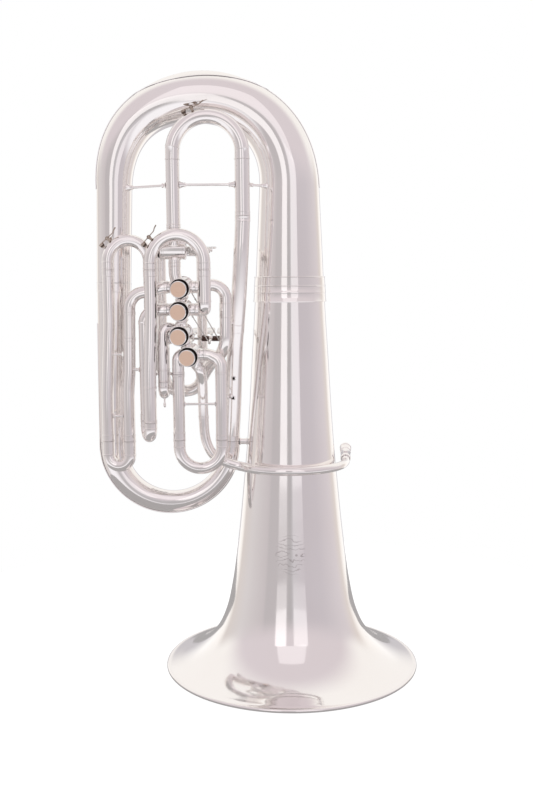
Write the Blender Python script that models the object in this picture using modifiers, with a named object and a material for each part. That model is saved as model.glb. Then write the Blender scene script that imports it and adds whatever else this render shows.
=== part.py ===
"""A rotary-valve F tuba standing on its bell: metres, +Z up, origin at the middle of its footprint.

+X runs from the outer branch to the bell, and +Y from the valve caps to the player's side.
Every tube butts against the next with a small gap. The bell's rim rests on the ground.
"""

import math

import bmesh
import bpy
from mathutils import Matrix, Vector

# ---------------------------------------------------------------- driving dimensions
GAP = 0.0003  # clearance between pieces that touch
WALL = 0.0006  # wall of the drawn tubes
BOW_WALL = 0.0009  # wall of the large conical branches

BELL_X = 0.053
RIM_RADIUS = 0.210
BELL_TOP_Z = 0.627
BELL_WALL = 0.0012

MAIN_BOW_Z = 0.788  # height of the main bow's centre
MAIN_BOW_RADIUS = 0.1402
RIGHT_SHOULDER = 0.0042  # how far the bow reaches beyond a half circle, halfway up each side
LEFT_SHOULDER = 0.0065
LEFT_LEG_X = BELL_X - 2 * MAIN_BOW_RADIUS
LEFT_JOINT = Vector((-0.2317, 0, 0.640))  # main bow to outer branch

BOTTOM_BOW_CENTRE = Vector((-0.146, 0, 0.375))
BOTTOM_BOW_OUTER = 0.1155
BOTTOM_BOW_LEFT_R = 0.0225
BOTTOM_BOW_MIDDLE_R = 0.0183
BOTTOM_BOW_RIGHT_R = 0.0145
BOTTOM_RUN_IN = 0.004  # straight part at each end of the bottom bow
BOW_STEPS = 12  # straight pieces in half a turn of the two large bows

GUARD_THICK = 0.0012
GUARD_HALF_WIDTH = 0.006
GUARD_RISE = 0.0040  # the main bow's guard stands off the top of the bow by this much
GUARD_RISE_START = math.radians(68)
GUARD_RISE_STOP = math.radians(118)

SLIDE_Y = -0.058  # plane of the main tuning slide, the fifth valve and the valve ports
SLIDE_LEFT_X = -0.1285
SLIDE_RIGHT_X = -0.0212
SLIDE_BOW_Z = 0.8384
SLIDE_JOINT_Z = 0.8262
SLIDE_LEFT_R = 0.0109
SLIDE_RIGHT_R = 0.0116
SLIDE_BOW_R = 0.0113
INNER_BRANCH_TOP_Z = 0.741

VALVE_YAW = math.radians(-6)  # the valves face a little to the left
VALVE_PITCH = math.radians(6)  # and a little down
VALVE_CENTRES = {
    4: Vector((-0.1168, SLIDE_Y, 0.6320)),
    3: Vector((-0.1182, SLIDE_Y, 0.5970)),
    2: Vector((-0.1186, SLIDE_Y, 0.5586)),
    1: Vector((-0.1054, SLIDE_Y, 0.5262)),
}
VALVE_5 = Vector((-0.1280, SLIDE_Y + 0.0060, 0.6902))
CASING_R = 0.0155
CASING_BORE_R = 0.0133
CASING_FRONT = -0.0185  # along the valve's own axis, which points back
CASING_BACK = 0.0180
REAR_WALL = 0.0030
ROTOR_R = 0.0130
SHAFT_R = 0.0025
CAP_FLANGE_R = 0.0160
CAP_BOSS_R = 0.0136
CAP_FACE = -0.0340
STUB_END = 0.0220  # from the valve's axis to the end of a port
PORT_R = 0.0095
PORT_BORE_R = 0.0084
STOP_ARM_PIN = 0.0046  # the pin's offset to the right and down at rest

TUBE_R = 0.0095  # outer radius of the valve tubing
WIDE_TUBE_R = 0.0099  # third valve
SMALL_TUBE_R = 0.0084  # second and fifth valves
SMALL_BORE_R = 0.0077
LEADPIPE_START_R = 0.0083
LEADPIPE_END_R = 0.0063

AXLE_Y = 0.014
AXLE_Z = 0.547
AXLE_R = 0.0019
LEVER_ANGLE = math.radians(6.5)  # half of a finger lever's travel
LEVER_FRONT = 0.0390  # from the axle to the front tip
LINK_Y = -0.0268
FIRST_LEVER_DROP = 0.0120  # the first valve is the lowest, so its lever reaches down to it
LEVER_X = {1: -0.1170, 2: -0.1070, 3: -0.0772, 4: -0.0591}
THUMB_AXLE_Y = -0.005
PADDLE_X = {1: -0.1270, 2: -0.1050, 3: -0.0830, 4: -0.0610}

STEEL = ("steel", (0.45, 0.44, 0.43), 0.35, 1.0)
SILVER = ("silver", (0.86, 0.85, 0.84), 0.14, 1.0)
SATIN = ("satin_silver", (0.78, 0.76, 0.74), 0.30, 1.0)
CAP_SILVER = ("warm_silver", (0.83, 0.78, 0.75), 0.20, 1.0)


# ---------------------------------------------------------------- scene and materials
def clear_scene():
    for thing in list(bpy.data.objects):
        bpy.data.objects.remove(thing, do_unlink=True)


def new_collection(name):
    group = bpy.data.collections.new(name)
    bpy.context.scene.collection.children.link(group)
    return group


def material(spec):
    name, colour, roughness, metallic = spec
    found = bpy.data.materials.get(name)
    if found:
        return found
    made = bpy.data.materials.new(name)
    made.use_nodes = True
    shader = made.node_tree.nodes["Principled BSDF"]
    shader.inputs["Base Color"].default_value = (*colour, 1)
    shader.inputs["Roughness"].default_value = roughness
    shader.inputs["Metallic"].default_value = metallic
    made.diffuse_color = (*colour, 1)
    return made


def link(name, mesh, spec, smooth=True):
    thing = bpy.data.objects.new(name, mesh)
    TUBA.objects.link(thing)
    mesh.materials.clear()
    mesh.materials.append(material(spec))
    if smooth:
        mesh.shade_smooth()
        mesh.set_sharp_from_angle(angle=math.radians(40))
    return thing


# ---------------------------------------------------------------- routes of the tubes
def rounded(corners, step=math.radians(31)):
    """Points along straight runs joined by arcs. Each inner corner is (point, bend radius)."""
    points = [Vector(corners[0][0])]
    for before, here, after in zip(corners, corners[1:], corners[2:]):
        corner = Vector(here[0])
        inward = (Vector(before[0]) - corner).normalized()
        outward = (Vector(after[0]) - corner).normalized()
        turn = math.pi - inward.angle(outward)
        if turn < 1e-4:
            points.append(corner)
            continue
        tangent = here[1] * math.tan(turn / 2)
        middle = (inward + outward).normalized()
        centre = corner + middle * (here[1] / math.cos(turn / 2))
        start = corner + inward * tangent - centre
        axis = (-inward).cross(outward).normalized()
        count = max(1, math.ceil(turn / step))
        for i in range(count + 1):
            points.append(centre + Matrix.Rotation(turn * i / count, 3, axis) @ start)
    points.append(Vector(corners[-1][0]))
    return points


def smooth_route(knots, per_span=3):
    """Catmull-Rom points through the knots."""
    knots = [Vector(k) for k in knots]
    ends = [2 * knots[0] - knots[1]] + knots + [2 * knots[-1] - knots[-2]]
    points = []
    for a, b, c, d in zip(ends, ends[1:], ends[2:], ends[3:]):
        for i in range(per_span):
            t = i / per_span
            square = (2 * a - 5 * b + 4 * c - d) * t**2
            cube = (3 * b - a - 3 * c + d) * t**3
            points.append(0.5 * (2 * b + (c - a) * t + square + cube))
    return points + [knots[-1]]


def arc(centre, radius, start, stop, count):
    """Points of an arc in the XZ plane, angles in degrees from +X towards +Z."""
    found = []
    for i in range(count + 1):
        angle = math.radians(start + (stop - start) * i / max(count, 1))
        found.append(Vector(centre) + Vector((radius * math.cos(angle), 0, radius * math.sin(angle))))
    return found


def along(points):
    """Share of the route's length at each point."""
    total = [0.0]
    for a, b in zip(points, points[1:]):
        total.append(total[-1] + (b - a).length)
    return [t / total[-1] for t in total]


def radii_between(points, stops):
    """A radius for each point, read from (share of length, radius) stops."""
    found = []
    for share in along(points):
        for (s0, r0), (s1, r1) in zip(stops, stops[1:]):
            if share <= s1 + 1e-9:
                found.append(r0 + (r1 - r0) * (share - s0) / max(s1 - s0, 1e-9))
                break
    return found


# ---------------------------------------------------------------- solids
def curve_mesh(points, radii, sides, capped):
    """A round skin swept along the points, with its normals outward and with or without ends."""
    curve = bpy.data.curves.new("route", "CURVE")
    curve.dimensions = "3D"
    curve.bevel_depth = 1.0
    curve.bevel_resolution = sides // 2 - 2
    curve.use_fill_caps = capped
    spline = curve.splines.new("POLY")
    spline.points.add(len(points) - 1)
    for spot, point, radius in zip(spline.points, points, radii):
        spot.co = (*point, 1)
        spot.radius = radius
    thing = bpy.data.objects.new("route", curve)
    TUBA.objects.link(thing)
    graph = bpy.context.evaluated_depsgraph_get()
    mesh = bpy.data.meshes.new_from_object(thing.evaluated_get(graph))
    bpy.data.objects.remove(thing)
    bpy.data.curves.remove(curve)
    work = bmesh.new()
    work.from_mesh(mesh)
    bmesh.ops.remove_doubles(work, verts=work.verts, dist=1e-6)
    bmesh.ops.recalc_face_normals(work, faces=work.faces)
    if not capped:
        side = min(work.faces, key=lambda face: (face.calc_center_median() - points[0]).length_squared)
        middle = sum((v.co for v in side.verts), Vector()) / len(side.verts)
        nearest = closest_on(points, middle)
        if (middle - nearest).dot(side.normal) < 0:
            bmesh.ops.reverse_faces(work, faces=work.faces)
    work.to_mesh(mesh)
    work.free()
    return mesh


def closest_on(points, spot):
    """The nearest place on the route to the spot."""
    best = None
    for a, b in zip(points, points[1:]):
        run = b - a
        share = max(0.0, min(1.0, (spot - a).dot(run) / run.length_squared))
        found = a + run * share
        if best is None or (found - spot).length < (best - spot).length:
            best = found
    return best


def rod(name, points, radius, spec):
    """A solid wire or bar of round section."""
    points = [Vector(p) for p in points]
    return link(name, curve_mesh(points, [radius] * len(points), 8, True), spec)


def tube(name, points, radius, spec, sides=10, wall=WALL):
    """A hollow tube, open at both ends. radius is one number, or one for each point."""
    points = [Vector(p) for p in points]
    radii = radius if isinstance(radius, list) else [radius] * len(points)
    thing = link(name, curve_mesh(points, radii, sides, False), spec)
    shell = thing.modifiers.new("wall", "SOLIDIFY")
    shell.thickness = wall
    shell.offset = -1
    shell.use_even_offset = True
    return thing


def cylinder(start, end, radius, sides=16, end_radius=None):
    """A closed cylinder or cone between two points, as a mesh object without a material."""
    start = Vector(start)
    end = Vector(end)
    work = bmesh.new()
    bmesh.ops.create_cone(
        work,
        cap_ends=True,
        segments=sides,
        radius1=radius,
        radius2=radius if end_radius is None else end_radius,
        depth=(end - start).length,
    )
    turn = (end - start).to_track_quat("Z", "Y").to_matrix().to_4x4()
    bmesh.ops.transform(work, matrix=Matrix.Translation((start + end) / 2) @ turn, verts=work.verts)
    mesh = bpy.data.meshes.new("cylinder")
    work.to_mesh(mesh)
    work.free()
    return bpy.data.objects.new("cylinder", mesh)


def bar(start, end, width, height):
    """A flat bar between two points. Its width lies along X, or along Y where the bar runs along X."""
    start = Vector(start)
    end = Vector(end)
    long = (end - start).normalized()
    across = Vector((0, 1, 0)) if abs(long.x) > 0.8 else Vector((1, 0, 0))
    side = (across - long * long.dot(across)).normalized()
    up = side.cross(long)
    work = bmesh.new()
    bmesh.ops.create_cube(work, size=1)
    bmesh.ops.scale(work, vec=(width, (end - start).length, height), verts=work.verts)
    turn = Matrix((side, long, up)).transposed().to_4x4()
    bmesh.ops.transform(work, matrix=Matrix.Translation((start + end) / 2) @ turn, verts=work.verts)
    mesh = bpy.data.meshes.new("bar")
    work.to_mesh(mesh)
    work.free()
    return bpy.data.objects.new("bar", mesh)


def solid_tube(points, radius):
    """A filled tube, as a mesh object without a material."""
    return bpy.data.objects.new("tube", curve_mesh(points, [radius] * len(points), 8, True))


def built(name, spec, joined, cut=(), place=None):
    """One solid: the joined shapes together, less the cut ones. place puts the finished object there."""
    base = joined[0]
    TUBA.objects.link(base)
    for operation, others in (("UNION", joined[1:]), ("DIFFERENCE", cut)):
        for other in others:
            CUTTERS.objects.link(other)
            other.display_type = "WIRE"
            other.hide_render = True
            step = base.modifiers.new(operation.lower(), "BOOLEAN")
            step.operation = operation
            step.object = other
    bpy.context.view_layer.update()
    graph = bpy.context.evaluated_depsgraph_get()
    mesh = bpy.data.meshes.new_from_object(base.evaluated_get(graph))
    for used in [base, *joined[1:], *cut]:
        bpy.data.objects.remove(used)
    thing = link(name, mesh, spec)
    if place:
        thing.matrix_world = place
    return thing


def origin_at(thing, spot):
    """Puts a moving piece's origin on its joint, and leaves its shape where it is."""
    thing.data.transform(Matrix.Translation(-Vector(spot)))
    thing.location = spot


def turned(name, profile, axis_x, spec, steps):
    """A profile of (radius, height) points, closed, turned about a vertical axis."""
    mesh = bpy.data.meshes.new(name)
    count = len(profile)
    verts = [(radius, 0, height) for radius, height in profile]
    mesh.from_pydata(verts, [(i, (i + 1) % count) for i in range(count)], [])
    thing = link(name, mesh, spec, smooth=False)
    thing.location.x = axis_x
    screw = thing.modifiers.new("turn", "SCREW")
    screw.axis = "Z"
    screw.steps = steps
    screw.render_steps = steps
    screw.use_merge_vertices = True
    screw.merge_threshold = 0.0001
    screw.use_smooth_shade = True
    return thing


def strip(name, points, half_width, thickness, spec):
    """A flat strip whose width lies along Y, thickened to the left of its route."""
    work = bmesh.new()
    row = [work.verts.new((p.x, p.y - half_width, p.z)) for p in points]
    edges = [work.edges.new(pair) for pair in zip(row, row[1:])]
    swept = bmesh.ops.extrude_edge_only(work, edges=edges)["geom"]
    moved = [v for v in swept if isinstance(v, bmesh.types.BMVert)]
    bmesh.ops.translate(work, vec=(0, 2 * half_width, 0), verts=moved)
    mesh = bpy.data.meshes.new(name)
    work.to_mesh(mesh)
    work.free()
    thing = link(name, mesh, spec)
    shell = thing.modifiers.new("thickness", "SOLIDIFY")
    shell.thickness = thickness
    shell.offset = 0
    return thing


# ---------------------------------------------------------------- bell and the conical body
BELL_OUTLINE = [  # (radius, height) of the outer surface, from the top down
    (0.0557, BELL_TOP_Z),
    (0.0580, 0.585),
    (0.0626, 0.513),
    (0.0666, 0.446),
    (0.0718, 0.372),
    (0.0780, 0.306),
    (0.0846, 0.240),
    (0.0926, 0.174),
    (0.0985, 0.137),
    (0.1050, 0.106),
    (0.1130, 0.082),
    (0.1230, 0.0615),
    (0.1370, 0.0435),
    (0.1560, 0.0275),
    (0.1780, 0.0150),
    (0.2010, 0.0068),
]
RIM_WIRE_R = 0.0030
BELL_SIDES = 28


def bell():
    outer = list(BELL_OUTLINE)
    rim = [
        (RIM_RADIUS - RIM_WIRE_R, 2 * RIM_WIRE_R),
        (RIM_RADIUS, 1.4 * RIM_WIRE_R),
        (RIM_RADIUS, 0.6 * RIM_WIRE_R),
        (RIM_RADIUS - 0.5 * RIM_WIRE_R, 0.0),
        (RIM_RADIUS - 1.7 * RIM_WIRE_R, 0.0),
        (RIM_RADIUS - 2.1 * RIM_WIRE_R, RIM_WIRE_R),
    ]
    inner = []
    for before, here, after in zip([outer[0], *outer], outer, [*outer[1:], outer[-1]]):
        slope = (Vector(after) - Vector(before)).normalized()
        drop = slope.x * BELL_WALL if here != outer[0] else 0.0
        inner.append((here[0] + slope.y * BELL_WALL, here[1] - drop))
    turned("bell", outer + rim + inner[::-1], BELL_X, SILVER, BELL_SIDES)


def bell_garland():
    profile = [
        (0.0572, 0.6475),
        (0.0572, 0.6290),
        (0.0588, 0.6265),
        (0.0578, 0.6235),
        (0.0590, 0.6085),
        (0.0584, 0.6065),
        (0.0573, 0.6065),
        (0.0561, 0.6273),
        (0.0556, 0.6475),
    ]
    turned("bell_garland", profile, BELL_X, SILVER, BELL_SIDES)


def main_bow_radius(share):
    return 0.0480 - 0.0210 * share + 0.0015 * share * share


def main_bow_point(share, beyond=0.0):
    """A point of the bow's centre line, share 0 on the bell's side, or beyond it outwards."""
    angle = math.pi * share
    shoulder = RIGHT_SHOULDER if share < 0.5 else LEFT_SHOULDER
    reach = MAIN_BOW_RADIUS + shoulder * math.sin(2 * angle) ** 2 + beyond
    centre = Vector((BELL_X - MAIN_BOW_RADIUS, 0, MAIN_BOW_Z))
    return centre + Vector((reach * math.cos(angle), 0, reach * math.sin(angle)))


def main_bow():
    route = [Vector((BELL_X, 0, BELL_TOP_Z + GAP)), Vector((BELL_X, 0, 0.706))]
    radii = [0.0552, 0.0520]
    route += [main_bow_point(i / BOW_STEPS) for i in range(BOW_STEPS + 1)]
    radii += [main_bow_radius(i / BOW_STEPS) for i in range(BOW_STEPS + 1)]
    route.append(LEFT_JOINT.copy())
    radii.append(0.0276)
    tube("main_bow", route, radii, SILVER, sides=16, wall=BOW_WALL)


def outer_branch():
    top = LEFT_JOINT - Vector((0, 0, GAP))
    bottom_z = BOTTOM_BOW_CENTRE.z + BOTTOM_RUN_IN + GAP
    bottom = Vector((BOTTOM_BOW_CENTRE.x - BOTTOM_BOW_OUTER + BOTTOM_BOW_LEFT_R, 0, bottom_z))
    low = bottom + Vector((0.0002, 0, 0.030))
    middle = top.lerp(low, 0.55)
    radii = [0.0275, 0.0251, BOTTOM_BOW_LEFT_R + 0.0003, BOTTOM_BOW_LEFT_R]
    tube("outer_branch", [top, middle, low, bottom], radii, SILVER, 12, BOW_WALL)


def bottom_bow():
    route = []
    radii = []
    for i in range(BOW_STEPS + 1):
        share = i / BOW_STEPS
        angle = math.radians(180 + 180 * share)
        if share < 0.5:
            radius = BOTTOM_BOW_LEFT_R + (BOTTOM_BOW_MIDDLE_R - BOTTOM_BOW_LEFT_R) * 2 * share
        else:
            radius = BOTTOM_BOW_MIDDLE_R + (BOTTOM_BOW_RIGHT_R - BOTTOM_BOW_MIDDLE_R) * (2 * share - 1)
        reach = BOTTOM_BOW_OUTER - radius
        route.append(BOTTOM_BOW_CENTRE + Vector((reach * math.cos(angle), 0, reach * math.sin(angle))))
        radii.append(radius)
    lift = Vector((0, 0, BOTTOM_RUN_IN))
    route = [route[0] + lift, *route, route[-1] + lift]
    radii = [radii[0], *radii, radii[-1]]
    tube("bottom_bow", route, radii, SILVER, 10, BOW_WALL)


INNER_BRANCH_KNOTS = [
    (-0.0450, 0.0, BOTTOM_BOW_CENTRE.z + BOTTOM_RUN_IN + GAP),
    (-0.0450, 0.0, BOTTOM_BOW_CENTRE.z + 0.012),
    (-0.0405, -0.0115, 0.448),
    (-0.0362, -0.0260, 0.530),
    (-0.0290, -0.0430, 0.611),
    (-0.0238, -0.0545, 0.689),
    (SLIDE_RIGHT_X, SLIDE_Y, INNER_BRANCH_TOP_Z - 0.006),
]


def inner_branch():
    start = Vector(INNER_BRANCH_KNOTS[0])
    end = Vector((SLIDE_RIGHT_X, SLIDE_Y, INNER_BRANCH_TOP_Z - GAP))
    route = [start, *smooth_route(INNER_BRANCH_KNOTS[1:], 2), end]
    radii = radii_between(route, [(0, BOTTOM_BOW_RIGHT_R - 0.0002), (0.5, 0.0122), (1, 0.0117)])
    tube("inner_branch", route, radii, SILVER, 8, BOW_WALL)


def guard_rise(share):
    """How far the main bow's guard stands off the bow, by share of the half turn."""
    along_rise = (math.pi * share - GUARD_RISE_START) / (GUARD_RISE_STOP - GUARD_RISE_START)
    return GUARD_RISE * math.sin(math.pi * min(max(along_rise, 0.0), 1.0))


def guards():
    lift = GAP + GUARD_THICK / 2
    points = []
    for i in range(BOW_STEPS + 1):
        share = i / BOW_STEPS
        points.append(main_bow_point(share, main_bow_radius(share) + lift + GAP + guard_rise(share)))
    strip("main_bow_guard", points, GUARD_HALF_WIDTH, GUARD_THICK, SILVER)
    reach = BOTTOM_BOW_OUTER + lift
    points = [BOTTOM_BOW_CENTRE + Vector((-reach, 0, 0.200))]
    points += arc(BOTTOM_BOW_CENTRE, reach, 180, 345, BOW_STEPS - 1)
    strip("bottom_bow_guard", points, GUARD_HALF_WIDTH, GUARD_THICK, SILVER)


# ---------------------------------------------------------------- slides
SLIDE_BOW_STEPS = 6


def slide(name, left, right, joint, direction, radius, bow_rise, insert, leg_radii=None):
    """A movable slide: a U bow with shouldered inner legs that run into the outer tubes.

    left and right are the (x, y) of its legs, and joint is the height where the outer tubes
    end. direction is +1 for a bow above its tubes and -1 for one below, bow_rise is the bow
    centre's distance from the joint, and insert is how far the legs reach inside.
    """
    left_r, right_r = leg_radii or (radius, radius)
    a = Vector((*left, 0))
    b = Vector((*right, 0))
    half = (b - a).length / 2
    middle = (a + b) / 2
    out = (a - b).normalized()
    bow_z = joint + direction * bow_rise
    route = []
    radii = []
    for height, size in leg_stops(joint, direction, left_r, insert):
        route.append(a + Vector((0, 0, height)))
        radii.append(size)
    for i in range(SLIDE_BOW_STEPS + 1):
        angle = math.pi * i / SLIDE_BOW_STEPS
        spot = middle + out * (half * math.cos(angle))
        route.append(spot + Vector((0, 0, bow_z + direction * half * math.sin(angle))))
        radii.append(radius)
    for height, size in reversed(leg_stops(joint, direction, right_r, insert)):
        route.append(b + Vector((0, 0, height)))
        radii.append(size)
    made = tube(name, route, radii, SILVER, 8)
    origin_at(made, (middle.x, middle.y, joint))


def leg_stops(joint, direction, outer_r, insert):
    """Heights and radii of one leg from its hidden tip out to the shoulder at the joint."""
    inner_r = outer_r - 0.0014
    return [
        (joint - direction * insert, inner_r),
        (joint + direction * GAP, inner_r),
        (joint + direction * (GAP + 0.0005), outer_r),
    ]


def outer_tube(name, points, radius=TUBE_R):
    """A fixed tube whose bore takes a slide leg."""
    return tube(name, points, radius, SILVER, 8)


SLIDE_FOOT_Z = VALVE_5.z + STUB_END + 0.0110  # top of the fifth valve's upper port


def main_slide():
    slide(
        "main_slide",
        (SLIDE_LEFT_X, SLIDE_Y),
        (SLIDE_RIGHT_X, SLIDE_Y),
        SLIDE_JOINT_Z,
        1,
        SLIDE_BOW_R,
        SLIDE_BOW_Z - SLIDE_JOINT_Z,
        0.085,
        (SLIDE_LEFT_R, SLIDE_RIGHT_R),
    )
    outer_tube(
        "main_slide_tube_left",
        [(SLIDE_LEFT_X, SLIDE_Y, SLIDE_FOOT_Z + GAP), (SLIDE_LEFT_X, SLIDE_Y, SLIDE_JOINT_Z)],
        SLIDE_LEFT_R,
    )
    outer_tube(
        "main_slide_tube_right",
        [(SLIDE_RIGHT_X, SLIDE_Y, INNER_BRANCH_TOP_Z), (SLIDE_RIGHT_X, SLIDE_Y, SLIDE_JOINT_Z)],
        SLIDE_RIGHT_R,
    )


STAY_R = 0.0018
STAY_Z = 0.789


def stays():
    """The row of thin stays between the two legs of the main bow and the main slide's tubes."""
    left_leg = Vector((LEFT_LEG_X, 0, STAY_Z))
    slide_left = Vector((SLIDE_LEFT_X, SLIDE_Y, STAY_Z))
    slide_right = Vector((SLIDE_RIGHT_X, SLIDE_Y, STAY_Z))
    right_leg = Vector((BELL_X, 0, STAY_Z))
    for name, a, a_r, b, b_r in (
        ("stay_left", left_leg, 0.0286, slide_left, SLIDE_LEFT_R),
        ("stay_middle", slide_left, SLIDE_LEFT_R, slide_right, SLIDE_RIGHT_R),
        ("stay_right", slide_right, SLIDE_RIGHT_R, right_leg, 0.0482),
    ):
        run = (b - a).normalized()
        rod(name, [a + run * (a_r + GAP), b - run * (b_r + GAP)], STAY_R, SILVER)


LEG_108 = Vector((-0.2340, -0.0440))
LEG_108_LOW = Vector((-0.2400, -0.0440))
LEG_129 = Vector((-0.2055, -0.0500))
UPPER_4_RIGHT = Vector((-0.1706, -0.0330))
FRONT_3 = Vector((-0.1635, -0.0785))
FRONT_3_LOW = Vector((-0.1680, -0.0785))
RIGHT_3 = Vector((-0.0806, -0.0825))
REAR_3 = Vector((-0.1768, -0.0535))
SECOND_X = -0.1475
SECOND_FRONT_Y = -0.0700
SECOND_REAR_Y = -0.0470
FIRST_LEFT = Vector((-0.1245, -0.0660))
FIRST_RIGHT = Vector((-0.0570, -0.0660))
FIFTH_LEFT = Vector((-0.1590, 0.0350))
FIFTH_RIGHT = Vector((-0.0920, 0.0350))
UPPER_4_JOINT = 0.6600
LOWER_4_JOINT = 0.3880
UPPER_3_JOINT = 0.6585
LOWER_3_JOINT = 0.4220
SECOND_JOINT = 0.4850
FIRST_JOINT = 0.3920
FIFTH_JOINT = 0.6000


def port(number, degrees, distance=STUB_END + GAP):
    """A point on the axis of a valve's port, in world coordinates."""
    angle = math.radians(degrees)
    local = Vector((math.cos(angle), 0, math.sin(angle))) * distance
    return VALVE_CENTRES[number] + VALVE_TURN @ local


RUN_IN = STUB_END + 0.008  # a loop tube leaves its port straight as far as here


def fourth_loop():
    slide("v4_upper_slide", LEG_108, UPPER_4_RIGHT, UPPER_4_JOINT, 1, TUBE_R, 0.0135, 0.060)
    slide("v4_lower_slide", LEG_108_LOW, LEG_129, LOWER_4_JOINT, -1, TUBE_R, 0.0235, 0.060)
    outer_tube(
        "v4_tube_middle",
        [
            (*LEG_108_LOW, LOWER_4_JOINT),
            (*LEG_108_LOW, LOWER_4_JOINT + 0.07),
            (*LEG_108, UPPER_4_JOINT - 0.08),
            (*LEG_108, UPPER_4_JOINT),
        ],
    )
    outer_tube(
        "v4_tube_left",
        rounded(
            [
                (port(4, 180), 0),
                (port(4, 180, RUN_IN), 0.018),
                ((-0.1620, -0.0545, 0.6280), 0.060),
                ((-0.2010, LEG_129.y, 0.6200), 0.026),
                ((-0.2030, LEG_129.y, 0.500), 0.1),
                ((*LEG_129, 0.470), 0.1),
                ((*LEG_129, LOWER_4_JOINT), 0),
            ]
        ),
    )
    outer_tube(
        "v4_tube_right",
        rounded(
            [
                ((*UPPER_4_RIGHT, UPPER_4_JOINT), 0),
                ((*UPPER_4_RIGHT, 0.545), 0.060),
                ((-0.1560, -0.0120, 0.500), 0.040),
                ((-0.1440, -0.0120, 0.4640), 0.022),
                ((-0.1000, -0.0120, 0.4640), 0.026),
                ((-0.0800, -0.0200, 0.5040), 0.050),
                ((-0.0500, -0.0550, 0.5340), 0.040),
                ((-0.0488, -0.0560, 0.6400), 0.0215),
                (port(4, 0, RUN_IN), 0.018),
                (port(4, 0), 0),
            ]
        ),
    )


def third_loop():
    slide("v3_upper_slide", FRONT_3, RIGHT_3, UPPER_3_JOINT, 1, WIDE_TUBE_R, 0.0120, 0.038)
    slide("v3_lower_slide", REAR_3, FRONT_3_LOW, LOWER_3_JOINT, -1, WIDE_TUBE_R, 0.0105, 0.060)
    outer_tube(
        "v3_tube_middle",
        [
            (*FRONT_3_LOW, LOWER_3_JOINT),
            (*FRONT_3_LOW, LOWER_3_JOINT + 0.07),
            (*FRONT_3, UPPER_3_JOINT - 0.06),
            (*FRONT_3, UPPER_3_JOINT),
        ],
        WIDE_TUBE_R,
    )
    outer_tube(
        "v3_tube_right",
        rounded(
            [
                (port(3, 0), 0),
                (port(3, 0, STUB_END + 0.0135), 0.0103),
                ((*RIGHT_3, 0.5985), 0.0103),
                ((*RIGHT_3, UPPER_3_JOINT), 0),
            ]
        ),
        WIDE_TUBE_R,
    )
    outer_tube(
        "v3_tube_rear",
        rounded(
            [
                (port(3, 180), 0),
                (port(3, 180, RUN_IN), 0.018),
                ((*REAR_3, 0.5945), 0.020),
                ((*REAR_3, LOWER_3_JOINT), 0),
            ]
        ),
        WIDE_TUBE_R,
    )


def first_loop():
    slide("v1_slide", FIRST_LEFT, FIRST_RIGHT, FIRST_JOINT, -1, TUBE_R, 0.0125, 0.070)
    outer_tube("v1_tube_left", [(*FIRST_LEFT, 0.4960), (*FIRST_LEFT, FIRST_JOINT)])
    outer_tube(
        "v1_tube_right",
        rounded(
            [
                (port(1, 0), 0),
                (port(1, 0, RUN_IN), 0.018),
                ((*FIRST_RIGHT, 0.5170), 0.015),
                ((*FIRST_RIGHT, FIRST_JOINT), 0),
            ]
        ),
    )


def second_and_fifth_slides():
    rear = (SECOND_X, SECOND_REAR_Y)
    front = (SECOND_X, SECOND_FRONT_Y)
    slide("v2_slide", rear, front, SECOND_JOINT, -1, SMALL_TUBE_R, 0.0085, 0.030)
    slide("v5_slide", FIFTH_LEFT, FIFTH_RIGHT, FIFTH_JOINT, -1, SMALL_TUBE_R, 0.1100, 0.050)


# ---------------------------------------------------------------- valves
VALVE_TURN = Matrix.Rotation(VALVE_YAW, 3, "Z") @ Matrix.Rotation(VALVE_PITCH, 3, "X")
VALVE_5_TURN = Matrix.Rotation(math.radians(-90), 3, "Z")  # its cap faces -X


def placed(number):
    if number == 5:
        return Matrix.Translation(VALVE_5) @ VALVE_5_TURN.to_4x4()
    return Matrix.Translation(VALVE_CENTRES[number]) @ VALVE_TURN.to_4x4()


def casing(number, ports, extras=(), extra_cuts=()):
    """A valve casing with short port stubs. ports are (degrees, reach); extras are in world space."""
    to_local = placed(number).inverted()
    joined = [cylinder((0, CASING_FRONT, 0), (0, CASING_BACK, 0), CASING_R, 16)]
    cuts = []
    for degrees, reach in ports:
        out = Vector((math.cos(math.radians(degrees)), 0, math.sin(math.radians(degrees))))
        joined.append(cylinder(out * 0.004, out * reach, PORT_R, 8))
        cuts.append(cylinder(out * 0.006, out * (reach + 0.002), PORT_BORE_R, 8))
    for shape in (*extras, *extra_cuts):
        shape.data.transform(to_local)
    joined.extend(extras)
    cuts.append(cylinder((0, CASING_FRONT - 0.002, 0), (0, CASING_BACK - REAR_WALL, 0), CASING_BORE_R, 16))
    cuts.append(cylinder((0, 0, 0), (0, CASING_BACK + 0.002, 0), SHAFT_R + 0.0004, 10))
    cuts.extend(extra_cuts)
    built(f"valve_casing_{number}", SILVER, joined, cuts, placed(number))


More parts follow.
